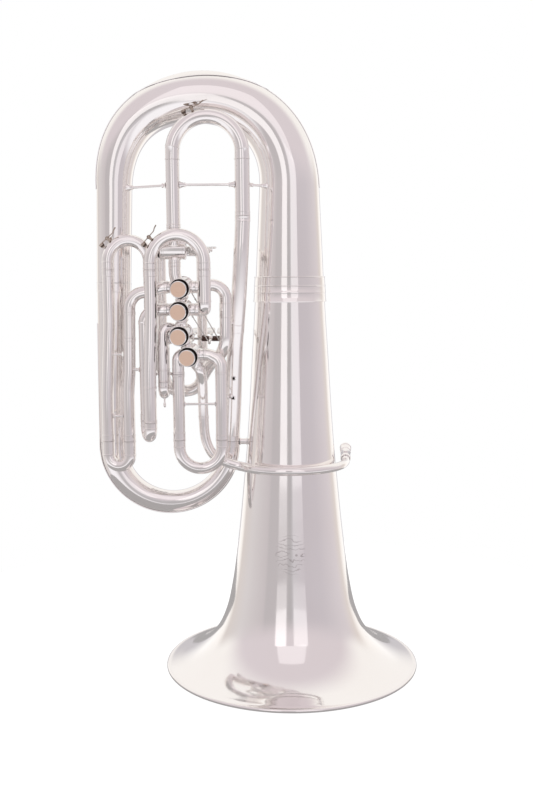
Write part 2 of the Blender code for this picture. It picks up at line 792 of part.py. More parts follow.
def casings():
    between_34 = 0.5 * (VALVE_CENTRES[4] - VALVE_CENTRES[3]).length - GAP / 2
    between_23 = 0.5 * (VALVE_CENTRES[3] - VALVE_CENTRES[2]).length - GAP / 2
    between_12 = 0.5 * (VALVE_CENTRES[2] - VALVE_CENTRES[1]).length - GAP / 2
    v4 = VALVE_CENTRES[4]
    top = solid_tube(
        rounded(
            [
                ((v4.x - 0.0070, SLIDE_Y, v4.z + 0.0040), 0),
                ((VALVE_5.x, SLIDE_Y, v4.z + 0.0200), 0.03),
                ((VALVE_5.x, SLIDE_Y, VALVE_5.z - CASING_R - 0.0012), 0),
            ]
        ),
        PORT_R,
    )
    casing(4, [(0, STUB_END), (180, STUB_END), (-91, between_34)], [top])
    casing(3, [(0, STUB_END), (180, STUB_END), (89, between_34), (-89.5, between_23)])
    v2 = VALVE_CENTRES[2]
    legs = []
    bores = []
    for degrees, leg_y, drop in ((150, SECOND_FRONT_Y, 0.0169), (207, SECOND_REAR_Y, -0.0100)):
        route = rounded(
            [
                (port(2, degrees, 0.006), 0),
                ((SECOND_X, 0.5 * (leg_y + SLIDE_Y), v2.z + drop), 0.010),
                ((SECOND_X, leg_y, v2.z - 0.0300), 0.03),
                ((SECOND_X, leg_y, SECOND_JOINT), 0),
            ]
        )
        legs.append(solid_tube(route, SMALL_TUBE_R))
        low = Vector((SECOND_X, leg_y, SECOND_JOINT - 0.002))
        bores.append(cylinder(low, low + Vector((0, 0, 0.036)), SMALL_BORE_R, 8))
    casing(2, [(90.5, between_23), (-68, between_12)], legs, bores)
    v1 = VALVE_CENTRES[1]
    left = solid_tube(
        rounded(
            [
                ((v1.x - 0.0040, SLIDE_Y, v1.z + 0.0010), 0),
                ((FIRST_LEFT.x, FIRST_LEFT.y + 0.0020, v1.z + 0.0010), 0.011),
                ((*FIRST_LEFT, v1.z - 0.0200), 0.03),
                ((*FIRST_LEFT, 0.4960 + GAP), 0),
            ]
        ),
        PORT_R,
    )
    casing(1, [(0, STUB_END), (112, between_12), (-60, STUB_END)], [left])


def casing_five():
    """The fifth valve's casing, with the legs of its loop and the thumb lever's pivot."""
    legs = []
    bores = []
    for start_x, leg, bend in ((-0.1190, FIFTH_RIGHT, 0.013), (-0.1362, FIFTH_LEFT, 0.0112)):
        route = rounded(
            [
                ((start_x, VALVE_5.y + 0.006, VALVE_5.z), 0),
                ((start_x, leg.y, VALVE_5.z), bend),
                ((*leg, VALVE_5.z), bend),
                ((*leg, FIFTH_JOINT), 0),
            ]
        )
        legs.append(solid_tube(route, SMALL_TUBE_R))
        low = Vector((*leg, FIFTH_JOINT - 0.002))
        bores.append(cylinder(low, low + Vector((0, 0, 0.057)), SMALL_BORE_R, 8))
    pivot = cylinder((-0.1150, THUMB_AXLE_Y, VALVE_5.z), (-0.0715, THUMB_AXLE_Y, VALVE_5.z), AXLE_R, 8)
    foot = (SLIDE_LEFT_X, SLIDE_Y, VALVE_5.z + 0.004)
    top = cylinder(foot, (SLIDE_LEFT_X, SLIDE_Y, SLIDE_FOOT_Z), SLIDE_LEFT_R, 10)
    casing(5, [(-90, CASING_R + 0.0009)], [*legs, top, pivot], bores)


def rotor(number):
    """The rotor with its two side channels, its shaft, and the stop arm with its pin."""
    body = cylinder((0, CASING_FRONT + 0.0005, 0), (0, CASING_BACK - REAR_WALL - GAP, 0), ROTOR_R, 16)
    channels = []
    for side in (-1, 1):
        centre = Vector((side * 0.0093 / math.sqrt(2), 0, -side * 0.0093 / math.sqrt(2)))
        run = Vector((1, 0, 1)).normalized() * 0.03
        channels.append(cylinder(centre - run, centre + run, 0.0066, 8))
    pin = Vector((STOP_ARM_PIN, 0, -STOP_ARM_PIN))
    reach = 0.0300 if number != 5 else 0.0470
    shapes = [
        body,
        cylinder((0, 0.010, 0), (0, 0.0245, 0), SHAFT_R, 8),
        cylinder((0, 0.0200, 0), (0, 0.0238, 0), 0.0044, 10),
        bar_flat(Vector((0, 0.0219, 0)) - pin * 0.3, Vector((0, 0.0219, 0)) + pin * 1.25, 0.0042, 0.0032),
        cylinder(pin + Vector((0, 0.0210, 0)), pin + Vector((0, reach, 0)), 0.0011, 6),
    ]
    built(f"valve_rotor_{number}", STEEL, shapes, channels, placed(number))


def bar_flat(start, end, width, thick):
    """A bar in the valve's XZ plane with its thickness along the valve's axis."""
    long = (end - start).normalized()
    axis = Vector((0, 1, 0))
    side = axis.cross(long)
    work = bmesh.new()
    bmesh.ops.create_cube(work, size=1)
    bmesh.ops.scale(work, vec=(width, (end - start).length, thick), verts=work.verts)
    turn = Matrix((side, long, axis)).transposed().to_4x4()
    if turn.determinant() < 0:
        turn = Matrix((-side, long, axis)).transposed().to_4x4()
    bmesh.ops.transform(work, matrix=Matrix.Translation((start + end) / 2) @ turn, verts=work.verts)
    mesh = bpy.data.meshes.new("bar")
    work.to_mesh(mesh)
    work.free()
    return bpy.data.objects.new("bar", mesh)


def cap(number):
    """A screwed front cap: a knurled flange and a chamfered boss. The fifth valve's cap is shallower."""
    face = CAP_FACE + (0.0070 if number == 5 else 0)
    flange_r = CAP_FLANGE_R - (0.0008 if number == 5 else 0)
    shapes = [
        cylinder((0, CASING_FRONT - GAP, 0), (0, CASING_FRONT - 0.0042, 0), flange_r, 18),
        cylinder((0, CASING_FRONT - 0.0020, 0), (0, face, 0), CAP_BOSS_R, 18),
    ]
    built(f"valve_cap_{number}", CAP_SILVER, shapes, (), placed(number))


# ---------------------------------------------------------------- levers and links
def finger_lever(number):
    """Lever at rest: its front tip below the axle's height and its finger plate above it."""
    x = LEVER_X[number]
    plate_x = PADDLE_X[number]
    slope = math.tan(LEVER_ANGLE)
    drop = FIRST_LEVER_DROP if number == 1 else 0.0
    reach = LEVER_FRONT - 0.25 * drop
    tip = Vector((x, AXLE_Y - reach, AXLE_Z - LEVER_FRONT * slope - drop))
    front = tip + Vector((0, 0.0030, 0.0004))
    elbow = Vector((x, 0.0520, AXLE_Z + 0.0380 * slope))
    turn = Vector((plate_x, 0.0700, AXLE_Z + 0.0560 * slope))
    end = Vector((plate_x, 0.1180, AXLE_Z + 0.1040 * slope))
    shapes = [
        cylinder((x - 0.0024, AXLE_Y, AXLE_Z), (x + 0.0024, AXLE_Y, AXLE_Z), 0.0043, 10),
        bar((x, AXLE_Y, AXLE_Z), front, 0.0030, 0.0034),
        cylinder(tip + Vector((0, 0.0050, 0)), tip, 0.0020, 8),
        bar((x, AXLE_Y, AXLE_Z), elbow + Vector((0, 0.001, 0)), 0.0030, 0.0034),
        bar(elbow, turn, 0.0036, 0.0030),
        bar(turn - Vector((0, 0.004, 0.0004)), end, 0.0180, 0.0022),
    ]
    bore = cylinder((x - 0.004, AXLE_Y, AXLE_Z), (x + 0.004, AXLE_Y, AXLE_Z), AXLE_R + 0.0004, 8)
    origin_at(built(f"finger_lever_{number}", SATIN, shapes, [bore]), (x, AXLE_Y, AXLE_Z))


def link_end(number):
    """Centre of the link's upper end, behind the stop arm's pin."""
    pin = VALVE_TURN @ Vector((STOP_ARM_PIN, 0.0312, -STOP_ARM_PIN)) + VALVE_CENTRES[number]
    return Vector((pin.x, LINK_Y, pin.z))


def link_rod(number):
    x = LEVER_X[number]
    drop = FIRST_LEVER_DROP if number == 1 else 0.0
    low = Vector((x, LINK_Y, AXLE_Z - LEVER_FRONT * math.tan(LEVER_ANGLE) - drop))
    high = link_end(number)
    half = Vector((0, 0.0010, 0))
    shapes = [
        cylinder(low, high, 0.0009, 6),
        cylinder(low - half, low + half, 0.0022, 8),
        cylinder(high - half, high + half, 0.0022, 8),
    ]
    origin_at(built(f"link_rod_{number}", STEEL, shapes), low)


def lever_axle():
    left_x = -0.1240
    right_x = -0.0530
    route = [
        (left_x, -0.0372, 0.5500),
        (left_x, AXLE_Y - 0.002, AXLE_Z),
        (left_x + 0.002, AXLE_Y, AXLE_Z),
        (right_x - 0.002, AXLE_Y, AXLE_Z),
        (right_x, AXLE_Y - 0.002, AXLE_Z),
        (-0.0440, -0.0180, AXLE_Z),
    ]
    rod("lever_axle", route, AXLE_R, STEEL)


def thumb_lever():
    """Works the fifth valve: its front end lies beside the stop arm's pin."""
    x = -0.0775
    pivot = Vector((x, THUMB_AXLE_Y, VALVE_5.z))
    tip = Vector((x, VALVE_5.y - STOP_ARM_PIN, VALVE_5.z - STOP_ARM_PIN))
    knee = Vector((x, 0.0500, VALVE_5.z + 0.0050))
    shapes = [
        cylinder(pivot - Vector((0.0024, 0, 0)), pivot + Vector((0.0024, 0, 0)), 0.0043, 10),
        bar(pivot, tip, 0.0030, 0.0034),
        bar(pivot, knee, 0.0030, 0.0034),
        bar(knee - Vector((0, 0.002, 0)), knee + Vector((0, 0.026, 0.002)), 0.0180, 0.0024),
    ]
    bore = cylinder(pivot - Vector((0.004, 0, 0)), pivot + Vector((0.004, 0, 0)), AXLE_R + 0.0004, 8)
    origin_at(built("thumb_lever", SATIN, shapes, [bore]), pivot)


# ---------------------------------------------------------------- water keys
def key_place(centre, reach, degrees, y):
    """Frame of a water key: origin on its pivot, x towards its spoon, z away from the tube."""
    angle = math.radians(degrees)
    out = Vector((math.cos(angle), 0, math.sin(angle)))
    run = Vector((math.sin(angle), 0, -math.cos(angle)))
    side = out.cross(run)
    turn = Matrix((run, side, out)).transposed().to_4x4()
    spot = Vector((centre[0], y, centre[1])) + out * reach
    return Matrix.Translation(spot) @ turn


KEY_HEIGHT = 0.0058
WATER_KEYS = {
    "water_key_main": key_place(
        (0.5 * (SLIDE_LEFT_X + SLIDE_RIGHT_X), SLIDE_BOW_Z), 0.05365 + 0.0113 + KEY_HEIGHT, 109, SLIDE_Y
    ),
    "water_key_4": key_place((-0.2023, UPPER_4_JOINT + 0.0135), 0.0322 + TUBE_R + KEY_HEIGHT, 132, -0.0425),
    "water_key_3": key_place(
        (-0.1221, UPPER_3_JOINT + 0.0120), 0.0415 + WIDE_TUBE_R + KEY_HEIGHT, 138, -0.0795
    ),
}


KEY_CARRIERS = {
    "water_key_main": "main_slide",
    "water_key_4": "v4_upper_slide",
    "water_key_3": "v3_upper_slide",
}


def water_key(name):
    """A sprung key that rides on its slide."""
    shapes = [
        cylinder((0, -0.0040, 0), (0, 0.0040, 0), 0.0021, 8),
        bar((-0.0155, 0, 0.0004), (0.0120, 0, 0.0004), 0.0040, 0.0014),
        cylinder((-0.0135, 0, -0.0046), (-0.0135, 0, 0.0002), 0.0040, 8),
        bar((0.0110, 0, 0.0002), (0.0210, 0, 0.0040), 0.0060, 0.0014),
    ]
    key = built(name, SATIN, shapes, (), WATER_KEYS[name])
    carrier = bpy.data.objects[KEY_CARRIERS[name]]
    key.parent = carrier
    key.matrix_parent_inverse = Matrix.Translation(carrier.location).inverted()


# ---------------------------------------------------------------- leadpipe and braces
PIPE_CENTRE_R = 0.0910
PIPE_Z = 0.3440


def beside_bell(degrees):
    """A point of the leadpipe's level arc round the bell, in degrees from +X."""
    angle = math.radians(degrees)
    return Vector((BELL_X + PIPE_CENTRE_R * math.cos(angle), PIPE_CENTRE_R * math.sin(angle), PIPE_Z))


def leadpipe():
    """The leadpipe round the bell. Returns its end and heading for the mouthpiece receiver."""
    knots = [
        port(1, -60, STUB_END + 0.0080),
        Vector((-0.0880, -0.0480, 0.4780)),
        Vector((-0.0876, -0.0400, 0.4300)),
        Vector((-0.0845, -0.0400, 0.3880)),
        Vector((-0.0715, -0.0410, 0.3620)),
        Vector((-0.0490, -0.0440, 0.3500)),
    ]
    for degrees in range(212, 353, 20):
        knots.append(beside_bell(degrees))
    knots.append(Vector((BELL_X + PIPE_CENTRE_R, -0.0010, PIPE_Z + 0.0030)))
    route = [port(1, -60), *smooth_route(knots[:6], 2), *knots[6:]]
    radii = radii_between(route, [(0, LEADPIPE_START_R), (0.25, 0.0080), (1, LEADPIPE_END_R)])
    tube("leadpipe", route, radii, SILVER, 8)
    return route[-1], (route[-1] - route[-2]).normalized()


def mouthpiece_receiver(end, heading):
    start = end + heading * GAP
    shapes = [
        cylinder(start, start + heading * 0.0440, 0.0078, 12, 0.0086),
        cylinder(start + heading * 0.0400, start + heading * 0.0460, 0.0096, 12),
    ]
    bore = cylinder(start - heading * 0.001, start + heading * 0.048, 0.0050, 12, 0.0064)
    built("mouthpiece_receiver", SILVER, shapes, [bore])


def bell_brace():
    """The short thick post between the bottom bow's inner end and the bell."""
    left = Vector((-0.0448 + BOTTOM_BOW_RIGHT_R + GAP + 0.0002, -0.0005, 0.3780))
    right = Vector((BELL_X - 0.0715 - GAP, -0.0005, 0.3780))
    post = cylinder(left, right, 0.0050, 12)
    link("bell_brace", post.data, SILVER)
    bpy.data.objects.remove(post)


# ---------------------------------------------------------------- the whole instrument
clear_scene()
TUBA = new_collection("tuba")
CUTTERS = new_collection("cutters")
CUTTERS.hide_render = True

bell()
bell_garland()
main_bow()
outer_branch()
bottom_bow()
inner_branch()
guards()
main_slide()
stays()
fourth_loop()
third_loop()
first_loop()
second_and_fifth_slides()
casings()
casing_five()
for valve in (1, 2, 3, 4, 5):
    rotor(valve)
    cap(valve)
for valve in (1, 2, 3, 4):
    finger_lever(valve)
    link_rod(valve)
lever_axle()
thumb_lever()
for key in WATER_KEYS:
    water_key(key)
pipe_end, pipe_heading = leadpipe()
mouthpiece_receiver(pipe_end, pipe_heading)
bell_brace()
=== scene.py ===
"""Looks of the silver-plated rotary-valve tuba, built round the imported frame.

Metres, +Z up, the same frame as the CAD: +X from the outer branch to the bell, -Y towards the
camera. Each tube is swept once along the route that its CAD node follows, with its ferrules,
beads and sockets in the profile.
"""

import math

import bmesh
import bpy
from mathutils import Matrix, Vector


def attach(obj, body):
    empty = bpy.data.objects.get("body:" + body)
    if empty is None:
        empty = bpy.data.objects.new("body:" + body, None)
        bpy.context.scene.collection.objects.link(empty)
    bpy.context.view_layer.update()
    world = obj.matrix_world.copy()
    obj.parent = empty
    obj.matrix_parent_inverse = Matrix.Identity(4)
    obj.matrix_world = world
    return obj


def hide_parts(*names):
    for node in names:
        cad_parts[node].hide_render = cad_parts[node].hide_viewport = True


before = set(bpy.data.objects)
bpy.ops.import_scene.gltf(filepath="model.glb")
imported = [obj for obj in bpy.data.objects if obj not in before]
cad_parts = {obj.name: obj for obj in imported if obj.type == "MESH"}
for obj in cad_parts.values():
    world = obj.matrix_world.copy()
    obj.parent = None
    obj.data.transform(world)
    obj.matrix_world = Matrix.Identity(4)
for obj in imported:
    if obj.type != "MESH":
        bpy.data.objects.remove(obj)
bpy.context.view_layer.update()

X, Y, Z = Vector((1, 0, 0)), Vector((0, 1, 0)), Vector((0, 0, 1))


# ---------------------------------------------------------------- materials
def graph(name):
    made = bpy.data.materials.new(name)
    made.use_nodes = True
    tree = made.node_tree
    return made, tree, tree.nodes["Principled BSDF"]


def node(tree, kind, inputs=None, **settings):
    made = tree.nodes.new(kind)
    for key, value in settings.items():
        setattr(made, key, value)
    for key, value in (inputs or {}).items():
        if isinstance(value, bpy.types.NodeSocket):
            tree.links.new(value, made.inputs[key])
        else:
            made.inputs[key].default_value = value
    return made


def spread(tree, source, low, high, start=0.35, stop=0.65):
    """The source's values between start and stop, spread between low and high."""
    return node(
        tree,
        "ShaderNodeMapRange",
        {"Value": source, "From Min": start, "From Max": stop, "To Min": low, "To Max": high},
    ).outputs["Result"]


def softened(tree, value, low, high, under=0.0, over=1.0):
    """From under, below low, to over, above high, and smooth between."""
    return node(
        tree,
        "ShaderNodeMapRange",
        {"Value": value, "From Min": low, "From Max": high, "To Min": under, "To Max": over},
        interpolation_type="SMOOTHSTEP",
    ).outputs["Result"]


def maths(tree, operation, first, second=0.0, third=0.0):
    return node(tree, "ShaderNodeMath", {0: first, 1: second, 2: third}, operation=operation).outputs[0]


def blended(tree, share, first, second):
    mix = node(tree, "ShaderNodeMix", {0: share}, data_type="RGBA")
    for socket, value in ((mix.inputs[6], first), (mix.inputs[7], second)):
        if isinstance(value, bpy.types.NodeSocket):
            tree.links.new(value, socket)
        else:
            socket.default_value = (*value, 1)
    return mix.outputs[2]


def plated(name, clean, tarnished, rough_low, rough_high, scratch=0.02, ornament=False, metal=1.0):
    """Polished plate: cloudy roughness, a trace of tarnish, and fine polishing scratches."""
    made, tree, shader = graph(name)
    place = node(tree, "ShaderNodeTexCoord").outputs["Object"]
    cloud = node(tree, "ShaderNodeTexNoise", {"Vector": place, "Scale": 9.0, "Detail": 4.0}).outputs["Fac"]
    patch = node(tree, "ShaderNodeTexNoise", {"Vector": place, "Scale": 38.0, "Detail": 6.0}).outputs["Fac"]
    stretched = node(tree, "ShaderNodeMapping", {"Vector": place, "Scale": (900, 900, 60)}).outputs["Vector"]
    fine = {"Vector": stretched, "Scale": 1.0, "Detail": 2.0}
    lines = node(tree, "ShaderNodeTexNoise", fine).outputs["Fac"]
    colour = blended(tree, spread(tree, cloud, 0.0, 0.55), clean, tarnished)
    rough = spread(tree, patch, rough_low, rough_high)
    height = lines
    if ornament:
        colour, rough, height = engraved(tree, place, colour, rough, lines)
    bump = node(tree, "ShaderNodeBump", {"Height": height, "Strength": scratch, "Distance": 0.0002})
    tree.links.new(colour, shader.inputs["Base Color"])
    tree.links.new(rough, shader.inputs["Roughness"])
    tree.links.new(bump.outputs["Normal"], shader.inputs["Normal"])
    shader.inputs["Metallic"].default_value = metal
    return made


def engraved(tree, place, colour, rough, lines):
    """A generic scrolled ornament, cut faintly into the front of the bell."""
    offset = {0: place, 1: ORNAMENT_CENTRE}
    shift = node(tree, "ShaderNodeVectorMath", offset, operation="SUBTRACT").outputs[0]
    sized = node(tree, "ShaderNodeVectorMath", {0: shift, 1: ORNAMENT_SCALE}, operation="MULTIPLY").outputs[0]
    far = node(tree, "ShaderNodeVectorMath", {0: sized}, operation="LENGTH").outputs["Value"]
    inside = softened(tree, far, 0.75, 1.0, under=1.0, over=0.0)
    scroll = node(
        tree,
        "ShaderNodeTexWave",
        {"Vector": shift, "Scale": 24.0, "Distortion": 6.0, "Detail": 2.0, "Detail Scale": 2.2},
        wave_type="RINGS",
    ).outputs["Fac"]
    cut = spread(tree, scroll, 0.0, 1.0, start=0.30, stop=0.48)
    ridge = spread(tree, scroll, 1.0, 0.0, start=0.52, stop=0.70)
    drawn = maths(tree, "MULTIPLY", maths(tree, "MULTIPLY", cut, ridge), inside)
    matt = maths(tree, "MULTIPLY_ADD", drawn, 0.30, rough)
    depth = maths(tree, "MULTIPLY_ADD", drawn, -6.0, lines)
    shadow = maths(tree, "MULTIPLY", drawn, 0.75)
    return blended(tree, shadow, colour, (0.42, 0.38, 0.38)), matt, depth


ORNAMENT_CENTRE = (0.050, -0.085, 0.208)
ORNAMENT_SCALE = (1 / 0.026, 1 / 0.05, 1 / 0.036)


def cork():
    made, tree, shader = graph("cork_black")
    place = node(tree, "ShaderNodeTexCoord").outputs["Object"]
    grain = node(tree, "ShaderNodeTexNoise", {"Vector": place, "Scale": 900.0, "Detail": 5.0}).outputs["Fac"]
    tree.links.new(blended(tree, grain, (0.05, 0.035, 0.03), (0.16, 0.11, 0.08)), shader.inputs["Base Color"])
    bump = node(tree, "ShaderNodeBump", {"Height": grain, "Strength": 0.5, "Distance": 0.0004})
    tree.links.new(bump.outputs["Normal"], shader.inputs["Normal"])
    shader.inputs["Roughness"].default_value = 0.85
    return made


SILVER = plated("silver_plate", (0.955, 0.925, 0.915), (0.925, 0.885, 0.865), 0.055, 0.10)
BELL_SILVER = plated(
    "silver_plate_bell", (0.955, 0.925, 0.918), (0.93, 0.89, 0.875), 0.06, 0.11, ornament=True
)
SATIN = plated("silver_handled", (0.93, 0.90, 0.885), (0.86, 0.81, 0.77), 0.12, 0.22, 0.05)
CAP = plated("silver_cap_face", (0.84, 0.62, 0.48), (0.78, 0.55, 0.42), 0.34, 0.44, 0.10, metal=0.35)
SPRING = plated("spring_bronze", (0.16, 0.10, 0.085), (0.10, 0.065, 0.055), 0.30, 0.42, 0.05)
AGED = plated("aged_silver", (0.52, 0.44, 0.38), (0.30, 0.24, 0.20), 0.20, 0.34, 0.06)
# Near-black plate: the small bosses on the inner branch, and painted shade on the cap necks, where the dark
# gap between boss and flange stands in for shadow and dark reflection.
DARK_AND_PAINTED_SHADE = plated("near_black_and_painted_shade", (0.030, 0.024, 0.022), (0.018, 0.015, 0.014), 0.34, 0.46, 0.05)
STEEL = plated("machined_steel", (0.62, 0.60, 0.585), (0.50, 0.475, 0.45), 0.16, 0.30, 0.08)
CORK = cork()


# ---------------------------------------------------------------- pieces
def piece(name, work, materials, body="root", replaces=(), sharp=35):
    """Makes an object of the bmesh, gives it materials, and rides it on a body."""
    materials = materials if isinstance(materials, (list, tuple)) else [materials]
    mesh = bpy.data.meshes.new(name)
    bmesh.ops.recalc_face_normals(work, faces=work.faces)
    work.to_mesh(mesh)
    work.free()
    for used in materials:
        mesh.materials.append(used)
    mesh.shade_smooth()
    mesh.set_sharp_from_angle(angle=math.radians(sharp))
    made = bpy.data.objects.new(name, mesh)
    bpy.context.scene.collection.objects.link(made)
    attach(made, body)
    if replaces:
        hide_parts(*replaces)
    return made


def finish(name, work, materials, body="root"):
    """The visible piece that replaces the CAD node of this name."""
    return piece(name + "_finish", work, materials, body, (name,))


class Path:
    """A route with a steady frame, read at any distance along it."""

    def __init__(self, points):
        self.points = [Vector(p) for p in points]
        self.far = [0.0]
        for a, b in zip(self.points, self.points[1:]):
            self.far.append(self.far[-1] + (b - a).length)
        self.length = self.far[-1]
        runs = [(b - a).normalized() for a, b in zip(self.points, self.points[1:])]
        tangents = [runs[0]] + [(a + b).normalized() for a, b in zip(runs, runs[1:])] + [runs[-1]]
        side = (X if abs(runs[0].x) < 0.7 else Z).cross(tangents[0]).normalized()
        self.frames = []
        for before, tangent in zip([tangents[0]] + tangents, tangents):
            side = before.rotation_difference(tangent) @ side
            side = (side - tangent * side.dot(tangent)).normalized()
            self.frames.append((tangent, side, tangent.cross(side)))

    def at(self, far):
        far = min(max(far, 0.0), self.length)
        for i, (a, b) in enumerate(zip(self.far, self.far[1:])):
            if far <= b + 1e-9:
                share = (far - a) / max(b - a, 1e-9)
                point = self.points[i].lerp(self.points[i + 1], share)
                axes = [p.lerp(q, share).normalized() for p, q in zip(self.frames[i], self.frames[i + 1])]
                return point, axes


def add_rings(work, rings, material=0):
    """Skins a list of vertex rings and closes both ends."""
    made = [[work.verts.new(spot) for spot in ring] for ring in rings]
    faces = []
    for low, high in zip(made, made[1:]):
        count = len(low)
        for i in range(count):
            faces.append(work.faces.new((low[i], low[(i + 1) % count], high[(i + 1) % count], high[i])))
    faces.append(work.faces.new(made[0][::-1]))
    faces.append(work.faces.new(made[-1]))
    for face in faces:
        face.material_index = material


def sweep_into(work, path, profile, sides=32, material=0):
    """Sweeps rings along the path. profile holds (distance, radius), in any order of distance."""
    rings = []
    for far, radius in profile:
        point, (tangent, side, up) = path.at(far)
        ring = []
        for i in range(sides):
            angle = 2 * math.pi * i / sides
            ring.append(point + (side * math.cos(angle) + up * math.sin(angle)) * radius)
        rings.append(ring)
    add_rings(work, rings, material)


def turn_into(work, profile, place, sides=48, material=0, knurl=None):
    """Turns (radius, height) points about the place's Z axis. knurl names the points that are knurled."""
    rings = []
    for index, (radius, height) in enumerate(profile):
        ring = []
        for i in range(sides):
            angle = 2 * math.pi * i / sides
            reach = radius
            if knurl and index in knurl and i % 2:
                reach -= 0.00035
            ring.append(place @ Vector((reach * math.cos(angle), reach * math.sin(angle), height)))
        rings.append(ring)
    add_rings(work, rings, material)


def bar_into(work, start, end, width, thick, rounding=0.0006, across=None, material=0):
    """A flat bar with rounded edges between two points."""
    start = Vector(start)
    end = Vector(end)
    long = (end - start).normalized()
    across = across or (Y if abs(long.x) > 0.8 else X)
    side = (across - long * long.dot(across)).normalized()
    turn = Matrix((side, long, side.cross(long))).transposed().to_4x4()
    block = bmesh.new()
    bmesh.ops.create_cube(block, size=1)
    bmesh.ops.scale(block, vec=(width, (end - start).length, thick), verts=block.verts)
    bmesh.ops.bevel(
        block,
        geom=block.edges[:],
        offset=rounding,
        segments=2,
        profile=0.5,
        affect="EDGES",
        clamp_overlap=True,
    )
    bmesh.ops.transform(block, matrix=Matrix.Translation((start + end) / 2) @ turn, verts=block.verts)
    for face in block.faces:
        face.material_index = material
    merge(work, block)


def merge(work, other):
    """Copies one bmesh into another and frees it."""
    mesh = bpy.data.meshes.new("merge")
    other.to_mesh(mesh)
    other.free()
    work.from_mesh(mesh)
    bpy.data.meshes.remove(mesh)


def axis_place(origin, axis):
    """A frame whose Z runs along the axis."""
    return Matrix.Translation(Vector(origin)) @ Vector(axis).to_track_quat("Z", "Y").to_matrix().to_4x4()


def pill(radius, low, high, edge=0.0004):
    """A turned profile of a short cylinder with rounded edges."""
    return [
        (radius - edge, low),
        (radius - 0.3 * edge, low + 0.3 * edge),
        (radius, low + edge),
        (radius, high - edge),
        (radius - 0.3 * edge, high - 0.3 * edge),
        (radius - edge, high),
    ]


def screw_into(work, origin, axis, radius=0.0022, height=0.0012, material=0):
    """A slotted cheese-head screw."""
    place = axis_place(origin, axis)
    head = [(radius * 0.55, -0.003), (radius * 0.55, 0.0), *pill(radius, 0.0, height)]
    turn_into(work, head, place, 20, material)
    slot = bmesh.new()
    bmesh.ops.create_cube(slot, size=1)
    bmesh.ops.scale(slot, vec=(radius * 1.7, radius * 0.22, 0.0001), verts=slot.verts)
    bmesh.ops.translate(slot, vec=(0, 0, height), verts=slot.verts)
    bmesh.ops.transform(slot, matrix=place, verts=slot.verts)
    for face in slot.faces:
        face.material_index = material
    merge(work, slot)


# ---------------------------------------------------------------- routes, as in the CAD
def rounded(corners, step=math.radians(7)):
    """Straight runs joined by arcs. Each inner corner is (point, bend radius)."""
    points = [Vector(corners[0][0])]
    for before, here, after in zip(corners, corners[1:], corners[2:]):
        corner = Vector(here[0])
        inward = (Vector(before[0]) - corner).normalized()
        outward = (Vector(after[0]) - corner).normalized()
        turn = math.pi - inward.angle(outward)
        if turn < 1e-4:
            points.append(corner)
            continue
        tangent = here[1] * math.tan(turn / 2)
        centre = corner + (inward + outward).normalized() * (here[1] / math.cos(turn / 2))
        start = corner + inward * tangent - centre
        axis = (-inward).cross(outward).normalized()
        count = max(2, math.ceil(turn / step))
        for i in range(count + 1):
            points.append(centre + Matrix.Rotation(turn * i / count, 3, axis) @ start)
    points.append(Vector(corners[-1][0]))
    return points


def smooth_route(knots, per_span=10):
    """Catmull-Rom points through the knots."""
    knots = [Vector(k) for k in knots]
    ends = [2 * knots[0] - knots[1]] + knots + [2 * knots[-1] - knots[-2]]
    points = []
    for a, b, c, d in zip(ends, ends[1:], ends[2:], ends[3:]):
        for i in range(per_span):
            t = i / per_span
            square = 2 * a - 5 * b + 4 * c - d
            cube = 3 * b - a - 3 * c + d
            points.append(0.5 * (2 * b + (c - a) * t + square * t**2 + cube * t**3))
    return points + [knots[-1]]


# ---------------------------------------------------------------- tubes with ferrules and sockets
WALL = 0.0006
BEAD = 0.00055
SMALL_TUBE_R = 0.0084
VALVE_TUBE_WALL = 0.0007
MAIN_SLIDE_WALL = 0.0008


def ferrule(start, end):
    """A raised band with a bead at each end: (distance, rise) stops."""
    rise = 0.00035
    stops = []
    for edge, way in ((start, 1), (end, -1)):
        found = [(0.0, 0.0), (0.0002, rise), (0.0004, BEAD + 0.0001), (0.0012, BEAD + 0.0001), (0.0016, rise)]
        stops += [(edge + way * far, lift) for far, lift in found]
    return sorted(stops)


def tube_profile(path, radius, bands=(), socket_start=0.0, socket_end=0.0, bore=None):
    """The profile of a tube. radius is a number or (share, radius) stops; bands are lists of stops."""

    def base(far):
        if not isinstance(radius, (list, tuple)):
            return radius
        share = far / path.length
        for (s0, r0), (s1, r1) in zip(radius, radius[1:]):
            if share <= s1 + 1e-9:
                return r0 + (r1 - r0) * (share - s0) / max(s1 - s0, 1e-9)
        return radius[-1][1]

    lifted = []
    spans = []
    for band in bands:
        stops = [(far if far >= 0 else path.length + far, lift) for far, lift in band]
        spans.append((stops[0][0], stops[-1][0]))
        lifted += [(far, base(far) + lift) for far, lift in stops]
    plain = [f for f in path.far if not any(a - 1e-6 <= f <= b + 1e-6 for a, b in spans)]
    outside = sorted([(f, base(f)) for f in plain] + lifted)
    outside = [(min(max(f, 0.0), path.length), r) for f, r in outside]
    if outside[0][0] > 1e-7:
        outside.insert(0, (0.0, outside[0][1]))
    if outside[-1][0] < path.length - 1e-7:
        outside.append((path.length, outside[-1][1]))
    profile = []
    if socket_start:
        inner = bore or base(0) - WALL
        profile += [(socket_start, inner), (0.0, inner)]
    profile += outside
    if socket_end:
        inner = bore or base(path.length) - WALL
        profile += [(path.length, inner), (path.length - socket_end, inner)]
    return profile


def add_tube(name, points, radius, bands=(), sides=32, extra=None, **sockets):
    """A tube that stands for the CAD node of the same name."""
    path = Path(points)
    work = bmesh.new()
    sweep_into(work, path, tube_profile(path, radius, bands, **sockets), sides)
    if extra:
        extra(work, path)
    return finish(name, work, [SILVER, DARK_AND_PAINTED_SHADE])


